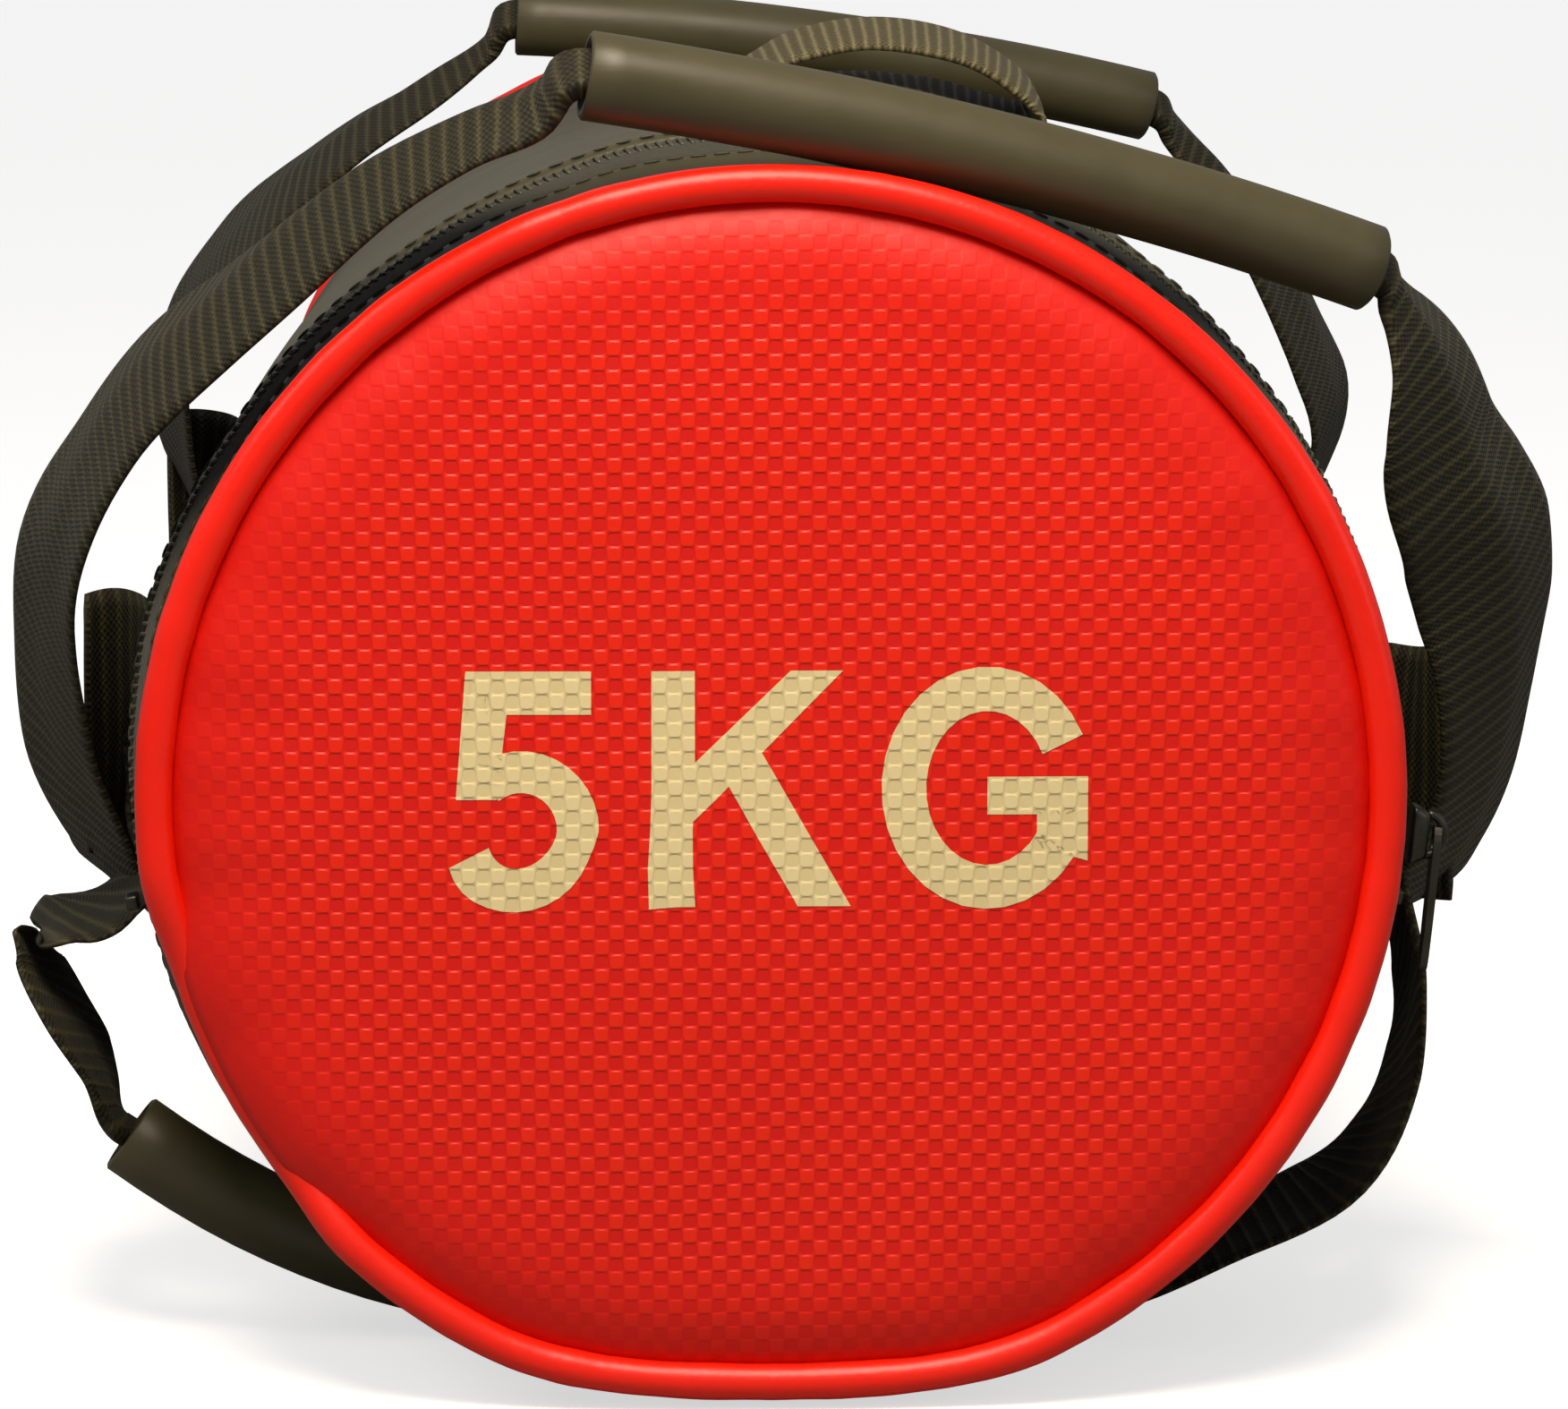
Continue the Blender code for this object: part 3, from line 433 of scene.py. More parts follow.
def rim(angle, radius, y):
    """Point on a ring parallel to the sewn rim, flat where the bag stands."""
    reach = radius * (1.0 - 0.006 * rolled(angle, y))
    below = soft_min(-reach * math.cos(angle), AXIS - (RIM - radius), 0.008)
    return Vector((reach * math.sin(angle), y, AXIS - below))


def cover_length(name, y_from, y_to, rows, lift, wall, material, node, turn_in=0.0):
    """A length of the bag's tube, with both its skins."""
    verts = []
    marks = [y_from + (y_to - y_from) * step / (rows - 1) for step in range(rows)]
    for y in marks:
        edge = min(abs(y - y_from), abs(y_to - y))
        tuck = turn_in * (1.0 - ease(edge / 0.0016))
        verts += [skin(2.0 * math.pi * k / AROUND, y, lift - tuck) for k in range(AROUND)]
    for y in reversed(marks):
        verts += [skin(2.0 * math.pi * k / AROUND, y, lift - wall) for k in range(AROUND)]
    return outward(piece(name, verts, quads(2 * rows, AROUND, 0, True), material, "bag", (node,)))


def seam_stitches(name, spots, length, thick):
    """Rows of stitches, each a short bead of thread. A spot is (point, along, up)."""
    verts, faces = [], []
    profile = ((-0.5, 0.25), (-0.3, 0.85), (0.0, 1.0), (0.3, 0.85), (0.5, 0.25))
    for point, along, up in spots:
        along = along.normalized()
        side = along.cross(up).normalized()
        top = side.cross(along).normalized()
        start = len(verts)
        for t, swell in profile:
            for k in range(6):
                a = math.pi * k / 3.0
                verts.append(point + along * (t * length)
                             + (side * math.cos(a) + top * math.sin(a)) * (thick * swell * 0.5))
        faces += quads(len(profile), 6, start)
        faces.append(tuple(range(start + 5, start - 1, -1)))
        last = start + 6 * (len(profile) - 1)
        faces.append(tuple(range(last, last + 6)))
    outward(piece(name, verts, faces, thread, "bag"))


def build_bag():
    """Cover, zip band, tapes, rim piping and padded ends."""
    gap = 0.0003
    edge = HALF - 0.0080 - gap
    hem = 0.0009
    slit = 0.0006
    cover = cover_length("cover_cloth", gap - TAPE_FAR, edge, 150, 0.0, COVER_WALL, black_vinyl,
                         "main_cover", hem)
    cover_length("zip_band_cloth", -edge, -(TAPE_NEAR + gap), 20, 0.0, COVER_WALL, black_vinyl,
                 "zip_side_band", hem)
    for word, start, stop in (("far", slit - ZIP_Y, -TAPE_FAR), ("near", -TAPE_NEAR, -(ZIP_Y + slit))):
        cover_length("zip_tape_" + word + "_cloth", start, stop, 6, -0.0009, 0.0006, tape,
                     "zip_tape_" + word)
    for word, side in (("near", -1.0), ("far", 1.0)):
        build_end(word, side)

    spots = []
    count = 170
    for y in (-(TAPE_NEAR + 0.0022), 0.0022 - TAPE_FAR):
        for k in range(count):
            a = 2.0 * math.pi * k / count
            point = skin(a, y, 0.00005)
            ahead = skin(a + 0.01, y, 0.00005)
            if point.z > 0.004:
                spots.append((point, ahead - point, Vector((math.sin(a), 0.0, math.cos(a)))))
    seam_stitches("zip_seam_stitches", spots, 0.0026, 0.0006)


def end_face(share):
    """How far the padded end lies behind its crown, at a share of its radius."""
    roll = max(share - 0.84, 0.0) / 0.16
    return 0.0010 * share ** 2 + 0.0034 * roll ** 3.0


def end_point(angle, share, side, lift=0.0):
    """Point on the padded end of the bag."""
    edge = rim(angle, END_RADIUS + 0.0030 * rolled(angle, side), side * END_SEAM_Y)
    dx = edge.x * share
    dz = (edge.z - AXIS) * share
    pucker = 0.00045 * noise.noise(Vector((math.sin(angle) * 9.0, math.cos(angle) * 9.0, 5.0 + side)))
    swell = 0.0007 * noise.noise(Vector((dx * 22.0, dz * 22.0, 3.0 + side)))
    back = end_face(share) + pucker * ease((share - 0.7) / 0.25) - swell * (1.0 - share ** 4)
    return Vector((dx, side * (HALF - 0.0008 - back + lift), AXIS + dz))


def build_end(word, side):
    """Padded end of embossed cloth, and the piping sewn round its rim."""
    shares = [0.02 + 0.98 * (k / 49.0) ** 0.75 for k in range(50)]
    verts = []
    for share in shares:
        verts += [end_point(2.0 * math.pi * k / AROUND, share, side) for k in range(AROUND)]
    for share in (1.0, 0.93, 0.6, 0.02):
        verts += [end_point(2.0 * math.pi * k / AROUND, share, side, -0.0018) for k in range(AROUND)]
    faces = capped(len(shares) + 4, AROUND)
    panel = outward(piece(word + "_end_cloth", verts, faces, red_vinyl, "bag",
                          (word + "_end_panel",)))

    verts = []
    sides = 16
    y = side * (HALF - 0.0050)
    for k in range(AROUND):
        a = 2.0 * math.pi * k / AROUND
        tucked = rolled(a, side)
        middle = rim(a, RIM - PIPING - 0.0010 * tucked, y - side * 0.0030 * tucked)
        out = Vector((math.sin(a), 0.0, math.cos(a)))
        reach = PIPING + 0.00018 * noise.noise(Vector((math.sin(a) * 14.0, math.cos(a) * 14.0, side)))
        for s in range(sides):
            turn = 2.0 * math.pi * s / sides
            verts.append(middle + out * (reach * math.cos(turn)) + Vector((0.0, reach * math.sin(turn), 0.0)))
    outward(piece(word + "_piping_cord", verts, quads(AROUND, sides, 0, True), red_piping, "bag",
                  (word + "_piping",)))


# ---------------------------------------------------------------- the printed weight

def print_weight():
    """The weight as plain block figures, printed on the near end."""
    tall = 0.0372
    strokes = []

    def bar(x0, z0, x1, z1, x2, z2, x3, z3):
        strokes.append([(x0, z0), (x1, z1), (x2, z2), (x3, z3)])

    def bow(cx, cz, rx, rz, start, stop, thick):
        steps = 26
        for k in range(steps):
            corners = []
            for t, grow in ((k, 0.0), (k + 1, 0.0), (k + 1, thick), (k, thick)):
                a = math.radians(start + (stop - start) * t / steps)
                corners.append((cx + (rx - grow) * math.cos(a), cz + (rz - grow) * math.sin(a)))
            strokes.append(corners)

    w = 0.0068
    # five
    bar(0.0022, tall, 0.0218, tall, 0.0218, tall - w, 0.0022, tall - w)
    bar(0.0022, tall, 0.0086, tall - w, 0.0070, 0.0170, 0.0006, 0.0170)
    bow(0.0108, 0.0122, 0.0122, 0.0125, 128.0, -152.0, 0.0066)
    # letter k
    bar(0.0312, tall, 0.0380, tall, 0.0380, 0.0, 0.0312, 0.0)
    bar(0.0374, 0.0130, 0.0374, 0.0222, 0.0530, tall, 0.0612, tall)
    bar(0.0432, 0.0192, 0.0482, 0.0248, 0.0624, 0.0, 0.0540, 0.0)
    # letter g
    bow(0.0838, 0.0186, 0.0166, 0.0192, 26.0, 326.0, 0.0070)
    bar(0.0838, 0.0204, 0.0996, 0.0204, 0.0996, 0.0144, 0.0838, 0.0144)
    bar(0.0916, 0.0150, 0.0996, 0.0150, 0.0996, 0.0070, 0.0916, 0.0092)

    left, low = -0.0502, -0.0160
    fine = 6
    verts, faces = [], []
    for corners in strokes:
        start = len(verts)
        (ax, az), (bx, bz), (cx, cz), (dx, dz) = corners
        for i in range(fine + 1):
            for j in range(fine + 1):
                u, v = i / fine, j / fine
                x = (ax * (1 - u) + bx * u) * (1 - v) + (dx * (1 - u) + cx * u) * v
                z = (az * (1 - u) + bz * u) * (1 - v) + (dz * (1 - u) + cz * u) * v
                x, z = x + left, z + low
                angle = math.atan2(x, z)
                edge = rim(angle, END_RADIUS, -END_SEAM_Y)
                full = math.hypot(edge.x, edge.z - AXIS)
                verts.append(end_point(angle, math.hypot(x, z) / full, -1.0, 0.00008))
        faces += quads(fine + 1, fine + 1, start, False, False)
    made = piece("printed_weight", verts, faces, ink, "bag", ())
    for face in made.data.polygons:
        if face.normal.y > 0.0:
            face.flip()
    made.data.update()


# ---------------------------------------------------------------- zip

def rounded_block(name, middle, angle, size, soften, body, node, taper=1.0):
    """A cast block with its edges rounded over, turned about the bag's axis."""
    work = bmesh.new()
    bmesh.ops.create_cube(work, size=1.0)
    for vert in work.verts:
        narrow = taper if vert.co.z > 0.0 else 1.0
        vert.co = Vector((vert.co.x * size[0] * narrow, vert.co.y * size[1] * narrow, vert.co.z * size[2]))
    bmesh.ops.bevel(work, geom=list(work.edges), offset=soften, segments=3, profile=0.6, affect="EDGES")
    work.transform(Matrix.Translation(middle) @ Matrix.Rotation(angle, 4, "Y"))
    work.verts.index_update()
    verts = [vert.co.copy() for vert in work.verts]
    faces = [tuple(vert.index for vert in face.verts) for face in work.faces]
    work.free()
    return piece(name, verts, faces, zinc, body, (node,))


def rod(name, path, ups, radius, sides, material, body, stands_for=()):
    """A round rod along a path, with a direction across it for each point."""
    verts = []
    for k, point in enumerate(path):
        along = (path[min(k + 1, len(path) - 1)] - path[max(k - 1, 0)]).normalized()
        side = along.cross(ups[k]).normalized()
        top = side.cross(along)
        for s in range(sides):
            turn = 2.0 * math.pi * s / sides
            verts.append(point + side * (radius * math.cos(turn)) + top * (radius * math.sin(turn)))
    return outward(piece(name, verts, capped(len(path), sides), material, body, stands_for))


def build_coil():
    """Nylon coil and its end stops."""
    pitch = 0.0017
    turns = int(2.0 * ZIP_REACH * 0.103 / pitch)
    per_turn = 12
    path = []
    for k in range(turns * per_turn + 1):
        a = -ZIP_REACH + 2.0 * ZIP_REACH * k / (turns * per_turn)
        phase = 2.0 * math.pi * k / per_turn
        path.append(skin(a, -ZIP_Y + 0.0019 * math.cos(phase), -0.0010 + 0.0004 * math.sin(phase)))
    out = [Vector((point.x, 0.0, point.z - AXIS)).normalized() for point in path]
    rod("zip_coil_wire", path, out, 0.00036, 5, coil_nylon, "bag", ("zip_coil",))
    for word, side in (("left", -1.0), ("right", 1.0)):
        a = side * (ZIP_REACH + 0.021)
        rounded_block("zip_end_stop_" + word, skin(a, -ZIP_Y, 0.0014), a, (0.0024, 0.0050, 0.0022), 0.0006,
                      "bag", "zip_stop_" + word)


def build_slider():
    """Cast slider body with its bridge, and the pull that hangs from it."""
    low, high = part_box("zip_slider")
    rest = ZIP_REACH - 0.0080 / skin_radius(-ZIP_Y)
    middle = (Vector(low) + Vector(high)) / 2.0
    rounded_block("zip_slider_body", middle, rest, (0.0100, 0.0074, 0.0030), 0.0011,
                  "slider", "zip_slider", 0.72)
    turn = Matrix.Rotation(rest, 3, "Y")
    arch = []
    for k in range(13):
        a = math.pi * k / 12.0
        arch.append(middle + turn @ Vector((-0.0034 * math.cos(a), 0.0, 0.0012 + 0.0030 * math.sin(a))))
    rod("zip_slider_bridge", arch, [Vector((0.0, 1.0, 0.0))] * 13, 0.0007, 10, zinc, "slider")

    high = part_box("zip_pull")[1]
    down = turn @ Vector((1.0, 0.0, 0.0))
    out = turn @ Vector((0.0, 0.0, 1.0))
    hinge = Vector((high[0], -ZIP_Y, high[2])) - out * 0.0008
    count = 40
    turns = [2.0 * math.pi * k / count for k in range(count)]
    outline = [(0.0120 + 0.0118 * math.cos(a), 0.0026 * math.copysign(abs(math.sin(a)) ** 0.45, math.sin(a)))
               for a in turns]
    hole = [(0.0030 + 0.0016 * math.cos(a), 0.0013 * math.sin(a)) for a in turns]
    verts = []
    for shift in (-0.0006, 0.0006):
        for along, across in outline + hole:
            verts.append(hinge + down * (along - 0.0006) + Vector((0.0, across, 0.0)) + out * shift)
    faces = []
    for k in range(count):
        n = (k + 1) % count
        for one, other in ((0, count), (2 * count, 3 * count), (0, 2 * count), (count, 3 * count)):
            faces.append((one + k, one + n, other + n, other + k))
    outward(piece("zip_pull_tab", verts, faces, zinc, "pull", ("zip_pull",), smooth=False))


# ---------------------------------------------------------------- webbing and grips

def to_space(rows):
    """Rows of (x, y, rise) in mm as points in metres."""
    return [Vector((r[0] / 1000.0, r[1] / 1000.0, AXIS + r[2] / 1000.0)) for r in rows]


def webbing(name, stations, material, body, stands_for=()):
    """Webbing along the given stations.

    A station is (x, y, rise above the axis, x, y and z of the direction across the webbing, width, crease,
    layers), with lengths in mm. The crease is how far the middle stands out, layers how thick it lies.
    """
    columns = 16
    thick = 0.0015
    rows = flowing(stations, 8)
    centres = to_space(rows)
    verts, cloth = [], []
    length = 0.0
    for k, row in enumerate(rows):
        here = centres[k]
        along = (centres[min(k + 1, len(rows) - 1)] - centres[max(k - 1, 0)]).normalized()
        wide = Vector(row[3:6])
        wide = (wide - along * wide.dot(along)).normalized()
        out = wide.cross(along).normalized()
        if k:
            length += (here - centres[k - 1]).length
        half = row[6] / 2000.0
        crease = row[7] / 1000.0
        flat = math.sqrt(max(half * half - crease * crease, 0.25 * half * half))
        depth = thick * max(row[8], 1.0) / 2.0
        line = []
        for c in range(columns + 1):
            u = -1.0 + 2.0 * c / columns
            bent = 0.5 - math.sqrt(u * u + 0.006) + 0.07
            slack = 0.0005 * noise.noise(Vector((length * 55.0, u * 1.6, here.x * 9.0)))
            slack *= min(half / 0.015, 1.0)
            line.append((u, here + wide * (u * flat) + out * (bent * crease + slack)))
        for order in (line, line[::-1]):
            for c, (u, point) in enumerate(order):
                before = order[max(c - 1, 0)][1]
                after = order[min(c + 1, columns)][1]
                normal = (after - before).cross(along).normalized()
                thin = 0.5 if abs(u) > 0.999 else 1.0
                verts.append(point + normal * (depth * thin))
                cloth.append((length * 1000.0, u * half * 1000.0, 0.0))
    faces = capped(len(rows), 2 * (columns + 1))
    return outward(piece(name, verts, faces, material, body, stands_for, cloth))


def layered_cloth(name, rows, columns, spot, material, node):
    """Two layers joined at their edges. spot(top, row, column) gives a point and its place in the cloth."""
    spots = [spot(top, r, c) for top in (False, True) for r in range(rows) for c in range(columns)]
    verts, cloth = zip(*spots)
    half = rows * columns
    faces = quads(rows, columns, 0, False, False) + quads(rows, columns, half, False, False)
    sides = [(r * columns + c, (r + 1) * columns + c) for r in range(rows - 1) for c in (0, columns - 1)]
    sides += [(r * columns + c, r * columns + c + 1) for c in range(columns - 1) for r in (0, rows - 1)]
    faces += [(a, b, half + b, half + a) for a, b in sides]
    outward(piece(name, verts, faces, material, "bag", (node,), cloth))


def lean_plane(anchor_y, degrees):
    """A function from (x, reach) in mm to a point in a top handle's plane, and the way across that plane."""
    lean = math.radians(degrees)

    def place(x, reach):
        return (x, anchor_y * 1000.0 - math.sin(lean) * reach, math.cos(lean) * reach)

    across = Vector((0.0, math.cos(lean), math.sin(lean)))
    return place, across


def arch_points(first, second, rise, count, extra=0.0):
    """Points in mm on an arched line in a handle's plane."""
    start, stop = Vector(first), Vector(second)
    chord = (stop - start).length
    radius = chord ** 2 / (8.0 * rise) + rise / 2.0
    along = (stop - start).normalized()
    out = Vector((-along.y, along.x))
    middle = (start + stop) / 2.0 - out * (radius - rise)
    reach = math.asin(chord / 2.0 / radius) + extra / radius
    return [middle + out * (radius * math.cos(a)) + along * (radius * math.sin(a))
            for a in [-reach + 2.0 * reach * k / (count - 1) for k in range(count)]]


def grip(name, path, across, body, node):
    """A hollow rubber grip, cut square at its ends, with the cut edges softened."""
    sides = 36
    count = len(path)
    frames = []
    for k, point in enumerate(path):
        along = (path[min(k + 1, count - 1)] - path[max(k - 1, 0)]).normalized()
        frames.append((point, along, along.cross(across).normalized()))
    last = count - 1
    lip = GRIP_IN + 0.0002
    corner = GRIP_OUT - 0.0005
    walk = [(0, 0.0, lip), (0, 0.0, corner), (0, 0.0004, GRIP_OUT)]
    walk += [(k, 0.0, GRIP_OUT) for k in range(1, last)]
    walk += [(last, -0.0004, GRIP_OUT), (last, 0.0, corner), (last, 0.0, lip)]
    walk += [(k, 0.0, GRIP_IN) for k in range(last - 1, 0, -1)]
    verts = []
    for index, slide, radius in walk:
        point, along, top = frames[index]
        for s in range(sides):
            a = 2.0 * math.pi * s / sides
            dent = 1.0 + 0.012 * noise.noise(Vector((index * 0.25, math.cos(a) * 0.8, math.sin(a) * 0.8)))
            verts.append(point + along * slide + (across * math.cos(a) + top * math.sin(a)) * (radius * dent))
    outward(piece(name, verts, quads(len(walk), sides, 0, True), rubber, body, (node,)))


def top_handle(word, anchor_y, lean, tube_left, tube_right, left, right):
    """One top handle: two halves of webbing that meet inside the grip."""
    place, across = lean_plane(anchor_y, lean)
    arch = [place(p.x, p.y) for p in arch_points(tube_left, tube_right, GRIP_ARCH * 1000.0, 25)]
    grip(word + "_top_grip_tube", to_space(arch), across, word + "_top_grip_body",
         word + "_top_grip")
    inside = [place(p.x, p.y) for p in arch_points(tube_left, tube_right, GRIP_ARCH * 1000.0, 9, 1.0)]
    middle = len(inside) // 2
    to_left = [(*p, *across, 9.0, 0.0, 2.6) for p in inside[middle::-1]]
    to_right = [(*p, *across, 9.0, 0.0, 2.6) for p in inside[middle:]]
    for side, stations in (("left", to_left + left), ("right", to_right + right)):
        made = webbing(word + "_top_webbing_" + side, stations, webbing_black, None)
        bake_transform(made)
        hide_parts(word + "_top_strap")


build_bag()
print_weight()
build_coil()
build_slider()

top_handle(
    "near", -ANCHOR_Y, 37.0, (-29.0, 142.5), (96.0, 102.5),
    [(-36, -243.5, 109, -.04, .85, .5, 15, 2, 1.6), (-47, -240, 105, -.05, .95, .25, 26, 4.5, 1),
     (-65.5, -233, 94, -.08, .95, .26, 34, 5.5, 1), (-85.5, -224, 77, -.13, .94, .26, 37, 4.5, 1),
     (-101, -214, 62.5, -.16, .95, .24, 38, 3.5, 1), (-111.5, -203, 45, -.2, .95, .16, 38, 2, 1),
     (-117, -191, 27.5, -.29, .94, .06, 38, 1, 1), (-117.5, -179, 8, -.31, .94, 0, 38, 0.5, 1),
     (-114, -169, -11, -.34, .93, -.1, 38, 0, 1), (-108, -162, -25, -.2, .95, -.1, 38, 0, 1),
     (-100.5, -153, -33, 0, 1, 0, 38, 0, 1)],
    [(100, -219.5, 77, .2, .85, .4, 14, -2, 1.6), (104.5, -216, 69.5, .4, .9, .15, 28, -4, 1),
     (108, -212, 60.5, .52, .85, .08, 36, -5, 1), (111, -208, 50.5, .6, .8, 0, 38, -6, 1),
     (115.5, -203, 41, .66, .75, 0, 38, -6, 1), (119.5, -197, 31, .66, .75, 0, 38, -5, 1),
     (122, -190, 19, .55, .83, 0, 38, -4, 1), (122, -181, 4, .42, .9, 0, 38, -3, 1),
     (119, -172, -12, .38, .9, -.05, 38, -2, 1), (113, -163, -26, .35, .92, -.1, 38, -1, 1),
     (107.5, -158, -32, .2, .95, -.1, 38, 0, 1), (99.5, -152, -38, 0, 1, 0, 38, 0, 1)],
)
top_handle(
    "far", ANCHOR_Y, 35.0, (-43.0, 134.5), (85.0, 112.5),
    [(-49, 86, 104.5, -.04, .95, .25, 14, 1.5, 1.6), (-60, 88, 97, -.05, .97, .2, 27, 3, 1),
     (-77, 93, 85.5, -.08, .97, .16, 35, 3, 1), (-94, 102, 71.5, -.12, .97, .14, 38, 2, 1),
     (-106, 114, 57, -.16, .97, .1, 38, 2, 1), (-114, 129, 39, -.2, .97, 0, 38, 1, 1),
     (-115, 143, 18, -.2, .97, 0, 38, 0, 1), (-108.5, 154, -3, -.1, .98, 0, 38, 0, 1),
     (-101, 151, -19, 0, 1, 0, 38, 0, 1)],
    [(90.5, 99, 87, .1, .9, .4, 14, -1.5, 1.6), (99, 103, 78, .15, .95, .2, 28, -4, 1),
     (110, 109, 63, .2, .95, .15, 36, -4, 1), (120, 118, 45, .25, .95, .1, 38, -3, 1),
     (126, 129, 26, .25, .95, .05, 38, -2, 1), (121, 142, 8, .2, .97, 0, 38, 0, 1),
     (108.5, 153, -6, .1, .98, 0, 38, 0, 1), (100.5, 150, -21, 0, 1, 0, 38, 0, 1)],
)


def side_webbing(word, side):
    """Webbing sewn along one side of the bag, with its stitches."""
    length = ANCHOR_Y - 0.004
    rows, columns = 90, 14

    def turn(u):
        return side * (math.pi / 2.0 - u * SEWN_TURN)

    def spot(top, r, c):
        y = -length + 2.0 * length * r / (rows - 1)
        u = -1.0 + 2.0 * c / (columns - 1)
        pinch = 0.0 if abs(u) < 0.99 else 0.0003
        return skin(turn(u), y, 0.0019 - pinch if top else 0.0004 + pinch), (y * 1000.0, u * 19.0, 0.0)

    layered_cloth(word + "_side_webbing_sewn", rows, columns, spot, webbing_black, word + "_side_webbing")
    up = Vector((side, 0.0, 0.0))
    spots = []
    for u in (-0.84, 0.84):
        for k in range(74):
            y = -length + 0.006 + (2.0 * length - 0.012) * k / 73.0
            spots.append((skin(turn(u), y, THREAD_LIFT), Vector((0.0, 1.0, 0.0)), up))
    box, reach = 0.030, 0.78
    for box_y in (-0.128, 0.128):
        for k in range(17):
            t = k / 16.0
            for flip in (1.0, -1.0):
                u = (t * 2.0 - 1.0) * reach * flip
                here = skin(turn(u), box_y + (t - 0.5) * box, THREAD_LIFT + 0.0001)
                spots.append((here, Vector((0.0, box, -0.028 * flip)), up))
        for end_y in (box_y - 0.016, box_y + 0.016):
            for k in range(13):
                u = (k / 12.0 * 2.0 - 1.0) * reach
                spots.append((skin(turn(u), end_y, THREAD_LIFT), Vector((0.0, 0.0, 1.0)), up))
    seam_stitches(word + "_side_stitches", spots, 0.0030, 0.00075)


side_webbing("left", -1.0)
side_webbing("right", 1.0)

# The ends of the side webbing that peel off the bag and turn to meet the handles
PEELED = {
    "near_left": [(-103.9, -132, -1, 0, 0, 1, 38, 0, 1), (-104.4, -144, 0, 0, 0, 1, 40, 0, 1),
                  (-106, -153, 1, 0, 0, 1, 43, 1, 1), (-109, -159, 1.5, 0, 0, 1, 45, 1.5, 1),
                  (-113, -163, 1.5, 0, 0, 1, 44, 0, 1)],
    "near_right": [(103.9, -132, -4, 0, 0, 1, 38, 0, 1), (104.4, -144, -6, 0, 0, 1, 38, 0, 1),
                   (107, -152, -7, 0, 0, 1, 41, 1, 1), (111.5, -158, -8, 0, 0, 1, 43, 1.5, 1),
                   (117, -163, -8, 0, 0, 1, 43, 0, 1)],
    "far_left": [(-101.6, 138, 1, 0, 0, 1, 38, 0, 1), (-102.6, 149, 3, 0, 0, 1, 38, 0, 1),
                 (-106, 157, 5, 0, 0, 1, 38, 1, 1), (-112, 160, 6, 0, 0, 1, 38, 1, 1),
                 (-118, 157, 6, 0, 0, 1, 38, 0, 1)],
    "far_right": [(101.6, 138, 1, 0, 0, 1, 38, 0, 1), (102.6, 149, 3, 0, 0, 1, 38, 0, 1),
                  (106, 157, 4, 0, 0, 1, 38, 1, 1), (113, 160, 4, 0, 0, 1, 38, 1, 1),
                  (121, 156, 4, 0, 0, 1, 38, 0, 1)],
}
for corner, stations in PEELED.items():
    webbing(corner + "_peeled_webbing", stations, webbing_black, "bag", ())


def lower_handle(word, y_sign):
    """One lower handle, folded under the bag."""
    path = []
    for k in range(25):
        x = -0.105 + 0.122 * k / 24.0
        path.append(Vector((x, y_sign * PINNED_Y, pinned_height(x))))
    grip(word + "_lower_grip_tube", path, Vector((0.0, 1.0, 0.0)), "bag", word + "_lower_grip")

    def inside(marks):
        return [(x, 190, (pinned_height(x / 1000.0) - AXIS) * 1000.0, 0, 1, 0, 9, 0, 2.6) for x in marks]

    sewn = skin_radius(y_sign * 0.150) * 1000.0 + 2.9
    left = [(-107.5, 190, -60.5, .03, 1, .04, 17, 1, 1.5), (-110, 188, -54, .04, 1, .05, 28, 1, 1),
            (-114, 185, -46, .05, 1, .05, 37, 1, 1), (-118, 181, -38.5, .04, 1, 0, 38, 0.5, 1),
            (-120.3, 179.4, -33.8, .04, 1, -.06, 38, 0, 1), (-120.3, 179, -32.6, .04, 1, -.05, 38, 0, 1),
            (-118, 178.5, -31, 0, 1, .08, 38, 0, 1), (-111.5, 176, -27.6, 0, 1, .22, 38, 1, 1),
            (-sewn - 1.5, 172, -22, 0, 1, .22, 38, 0, 1), (-sewn, 168, -12, 0, 1, 0, 38, 0, 1),
            (-sewn, 165, -5, 0, 1, 0, 38, 0, 1)]
    right = [(27, 190, -90.5, 0, 1, 0, 9, 0, 2.4), (42, 190, -92.4, 0, 1, 0, 14, 0, 1.8),
             (60, 190, -90.3, 0, 1, 0, 24, 0, 1.2), (78, 190, -81, 0, 1, .05, 34, 0, 1),
             (95, 189, -72, 0, 1, .05, 38, 1, 1), (104.5, 184, -60, 0, 1, 0, 38, 1, 1),
             (108.5, 176, -46, 0, 1, -.05, 38, 1, 1), (sewn + 3.0, 167, -33, 0, 1, -.1, 38, 0, 1),
             (sewn, 156, -19, 0, 1, 0, 38, 0, 1), (sewn, 149, -6, 0, 1, 0, 38, 0, 1)]
    halves = (("left", (-20, -50, -75, -95, -104), left), ("right", (-20, -8, 6, 16), right))
    for side, marks, stations in halves:
        rows = [(r[0], y_sign * r[1], *r[2:4], -y_sign * r[4], *r[5:]) for r in inside(marks) + stations]
        webbing(word + "_lower_webbing_" + side, rows, webbing_black, "bag", (word + "_lower_strap",))


lower_handle("near", -1.0)
lower_handle("far", 1.0)


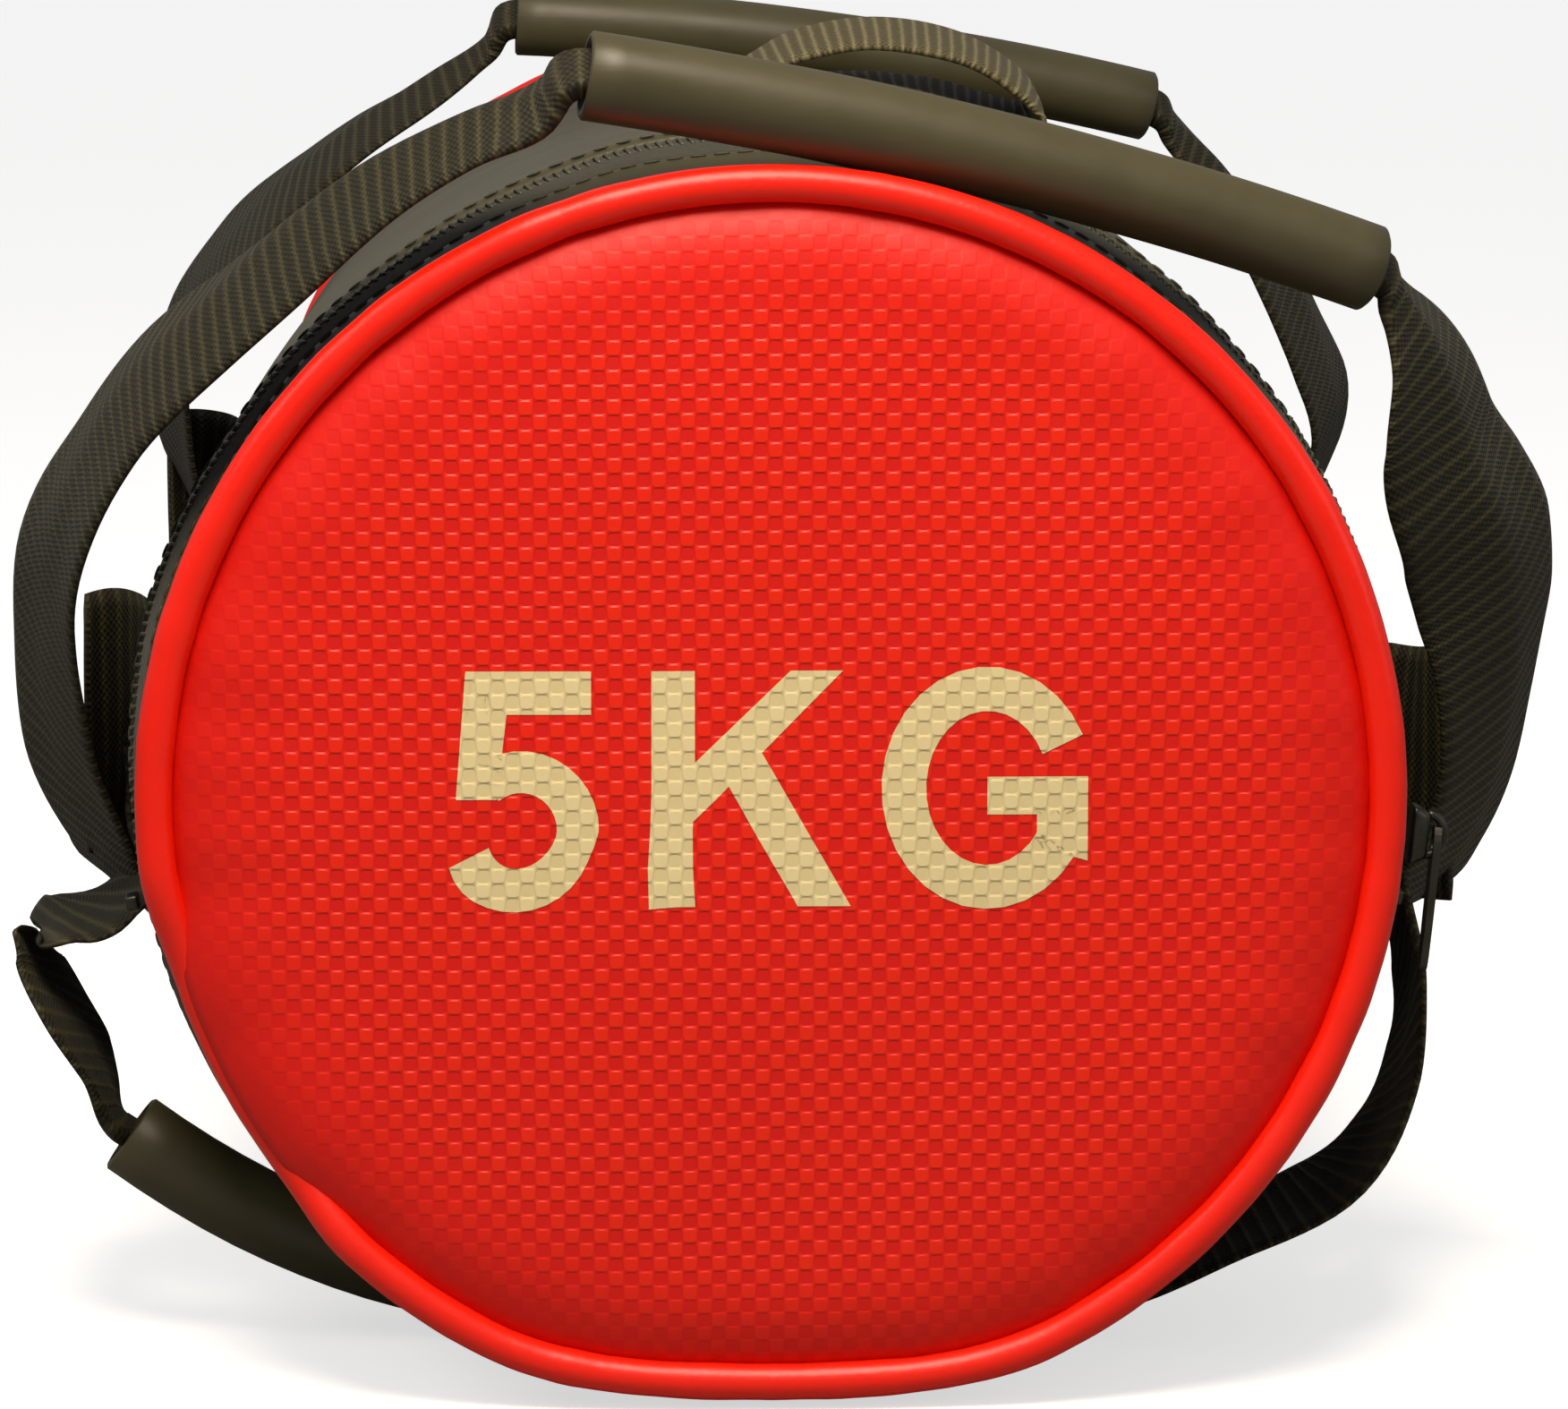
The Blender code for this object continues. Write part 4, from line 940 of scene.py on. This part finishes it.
def carry_loop():
    """The short loop on top, lying over to the right, and its sewn patch."""
    def ring(degrees, lift):
        a = math.radians(degrees)
        radius = LOOP_HINGE_RADIUS * 1000.0 + lift
        return (radius * math.sin(a), 0.0, radius * math.cos(a))

    plan = [(0.0, 0.0), (7.0, 0.8), (14.0, 2.4), (21.0, 4.2), (26.5, 5.2), (29.6, 6.8), (30.4, 9.6),
            (27.6, 12.6), (21.0, 14.0), (13.0, 12.0), (6.0, 7.4), (1.0, 2.6)]
    stations = [(*ring(degrees, lift), 0, 1, 0.14 * ease(lift / 5.0), 30, 0.4, 1.0 + 0.3 * ease(lift / 5.0))
                for degrees, lift in plan]
    webbing("carry_loop_webbing", stations, webbing_olive, "carry_loop_body", ("carry_loop",))
    rows, columns = 16, 14

    def spot(top, r, c):
        degrees = -12.0 + 12.2 * r / (rows - 1)
        thick = 0.0005 + 0.0009 * (1.0 - ease((degrees + 4.0) / 1.2))
        y = -0.017 + 0.034 * c / (columns - 1)
        turn = math.radians(degrees)
        return skin(turn, y, 0.0003 + (thick if top else 0.0)), (turn * 100.0, y * 1000.0, 0.0)

    layered_cloth("carry_loop_sewn_patch", rows, columns, spot, webbing_olive, "carry_loop_patch")
    up = Vector((0.0, 0.0, 1.0))
    lift = 0.0018
    left, right = -10.8, -4.2
    spots = []
    for k in range(11):
        t = k / 10.0
        y = -0.014 + 0.028 * t
        for degrees in (left, right):
            spots.append((skin(math.radians(degrees), y, lift), Vector((0.0, 1.0, 0.0)), up))
        across = math.radians(left + (right - left) * t)
        for flip in (1.0, -1.0):
            spots.append((skin(across, y * flip, lift), Vector((0.0135, 0.028 * flip, 0.0)), up))
    seam_stitches("carry_loop_stitches", spots, 0.0025, 0.0007)


carry_loop()

# The inside is hidden, but each piece keeps a finish of its own
grey_foam = ("#9a9aa0", "#6f6f75", 900.0, 0.0003)
INSIDE = {
    "foam_sleeve": fibre_fill("grey closed cell foam sleeve", *grey_foam),
    "near_foam_disc": fibre_fill("grey closed cell foam near disc", *grey_foam),
    "far_foam_disc": fibre_fill("grey closed cell foam far disc", *grey_foam),
    "padding_roll": fibre_fill("packed textile scraps", "#b7b09f", "#7e776a", 160.0, 0.0020),
    "sand_sack": fibre_fill("woven sack cloth", "#dcd9cf", "#b3ae9f", 1200.0, 0.0002),
    "sand_fill": fibre_fill("dry sand", "#cbb48a", "#8f7a52", 1500.0, 0.0004),
}
for name, material in INSIDE.items():
    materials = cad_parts[name].data.materials
    materials.clear()
    materials.append(material)


# ---------------------------------------------------------------- floor, light and camera

WHITE = linear("#ffffff")


def studio_paper(name, code):
    """Matt paper roll lit from behind, so that it looks white but throws little light on the bag."""
    made, tree, shader, place = finish(name, {"Roughness": 0.9, "Specular IOR Level": 0.1,
                                       "Emission Color": WHITE, "Emission Strength": 0.62})
    tooth = add(tree, "TexNoise", {"Scale": 400.0, "Detail": 2.0}, {"Vector": place})
    colour = add(tree, "Mix", {"data_type": "RGBA", 6: linear(code), 7: WHITE}, {0: tooth.outputs["Fac"]})
    lay(tree, shader, colour.outputs[2], None, tooth.outputs["Fac"], 0.0001, 0.2)
    shade = add(tree, "BsdfDiffuse", {"Color": linear("#8a8a88")})
    seen = add(tree, "LightPath")
    both = add(tree, "MixShader", (),
               {0: seen.outputs["Is Camera Ray"], 1: shade.outputs[0], 2: shader.outputs[0]})
    tree.links.new(both.outputs[0], tree.nodes["Material Output"].inputs[0])
    return made


floor_mesh = bpy.data.meshes.new("studio_floor")
reach, drop = 9.0, -0.0006
corners = [(-reach, -reach, drop), (reach, -reach, drop), (reach, reach, drop), (-reach, reach, drop)]
floor_mesh.from_pydata(corners, [], [(0, 1, 2, 3)])
floor_mesh.materials.append(studio_paper("white studio paper", "#fbfbfb"))
floor = bpy.data.objects.new("studio_floor", floor_mesh)
bpy.context.scene.collection.objects.link(floor)


def soft_light(name, place, aim, size, watts, tint):
    """A large soft studio light."""
    data = bpy.data.lights.new(name, "AREA")
    data.shape = "DISK"
    data.size = size
    data.energy = watts
    data.color = linear(tint)[:3]
    lamp = bpy.data.objects.new(name, data)
    lamp.location = place
    lamp.rotation_euler = (Vector(aim) - Vector(place)).to_track_quat("-Z", "Y").to_euler()
    bpy.context.scene.collection.objects.link(lamp)


soft_light("overhead soft box", (-0.05, -0.62, 0.80), (0.0, -0.2, 0.14), 0.45, 8.2, "#ffefd8")
soft_light("left soft box", (-1.5, -0.6, 1.5), (0.0, 0.0, 0.1), 1.0, 6.0, "#fff6ea")
soft_light("right fill", (1.6, -0.9, 0.7), (0.0, 0.0, 0.1), 1.0, 2.2, "#fff6ea")

world = bpy.data.worlds.new("white studio")
world.use_nodes = True
tree = world.node_tree
background = tree.nodes["Background"]
background.inputs["Color"].default_value = WHITE
background.inputs["Strength"].default_value = 0.28
white_sweep = add(tree, "Background", {"Color": WHITE, "Strength": 1.0})
seen = add(tree, "LightPath")
both = add(tree, "MixShader", (),
           {0: seen.outputs["Is Camera Ray"], 1: background.outputs[0], 2: white_sweep.outputs[0]})
tree.links.new(both.outputs[0], tree.nodes["World Output"].inputs[0])
bpy.context.scene.world = world
bpy.context.scene.view_settings.view_transform = "Standard"

camera_data = bpy.data.cameras.new("camera")
camera_data.sensor_width = 36.0
camera_data.lens = 163.0
camera_data.clip_end = 50.0
camera = bpy.data.objects.new("camera", camera_data)
camera.location = (-0.028, -1.348, 0.2598)
yaw, pitch = math.radians(1.55), math.radians(-7.62)
camera.rotation_euler = (math.radians(90.0) + pitch, 0.0, -yaw)
bpy.context.scene.collection.objects.link(camera)
bpy.context.scene.camera = camera
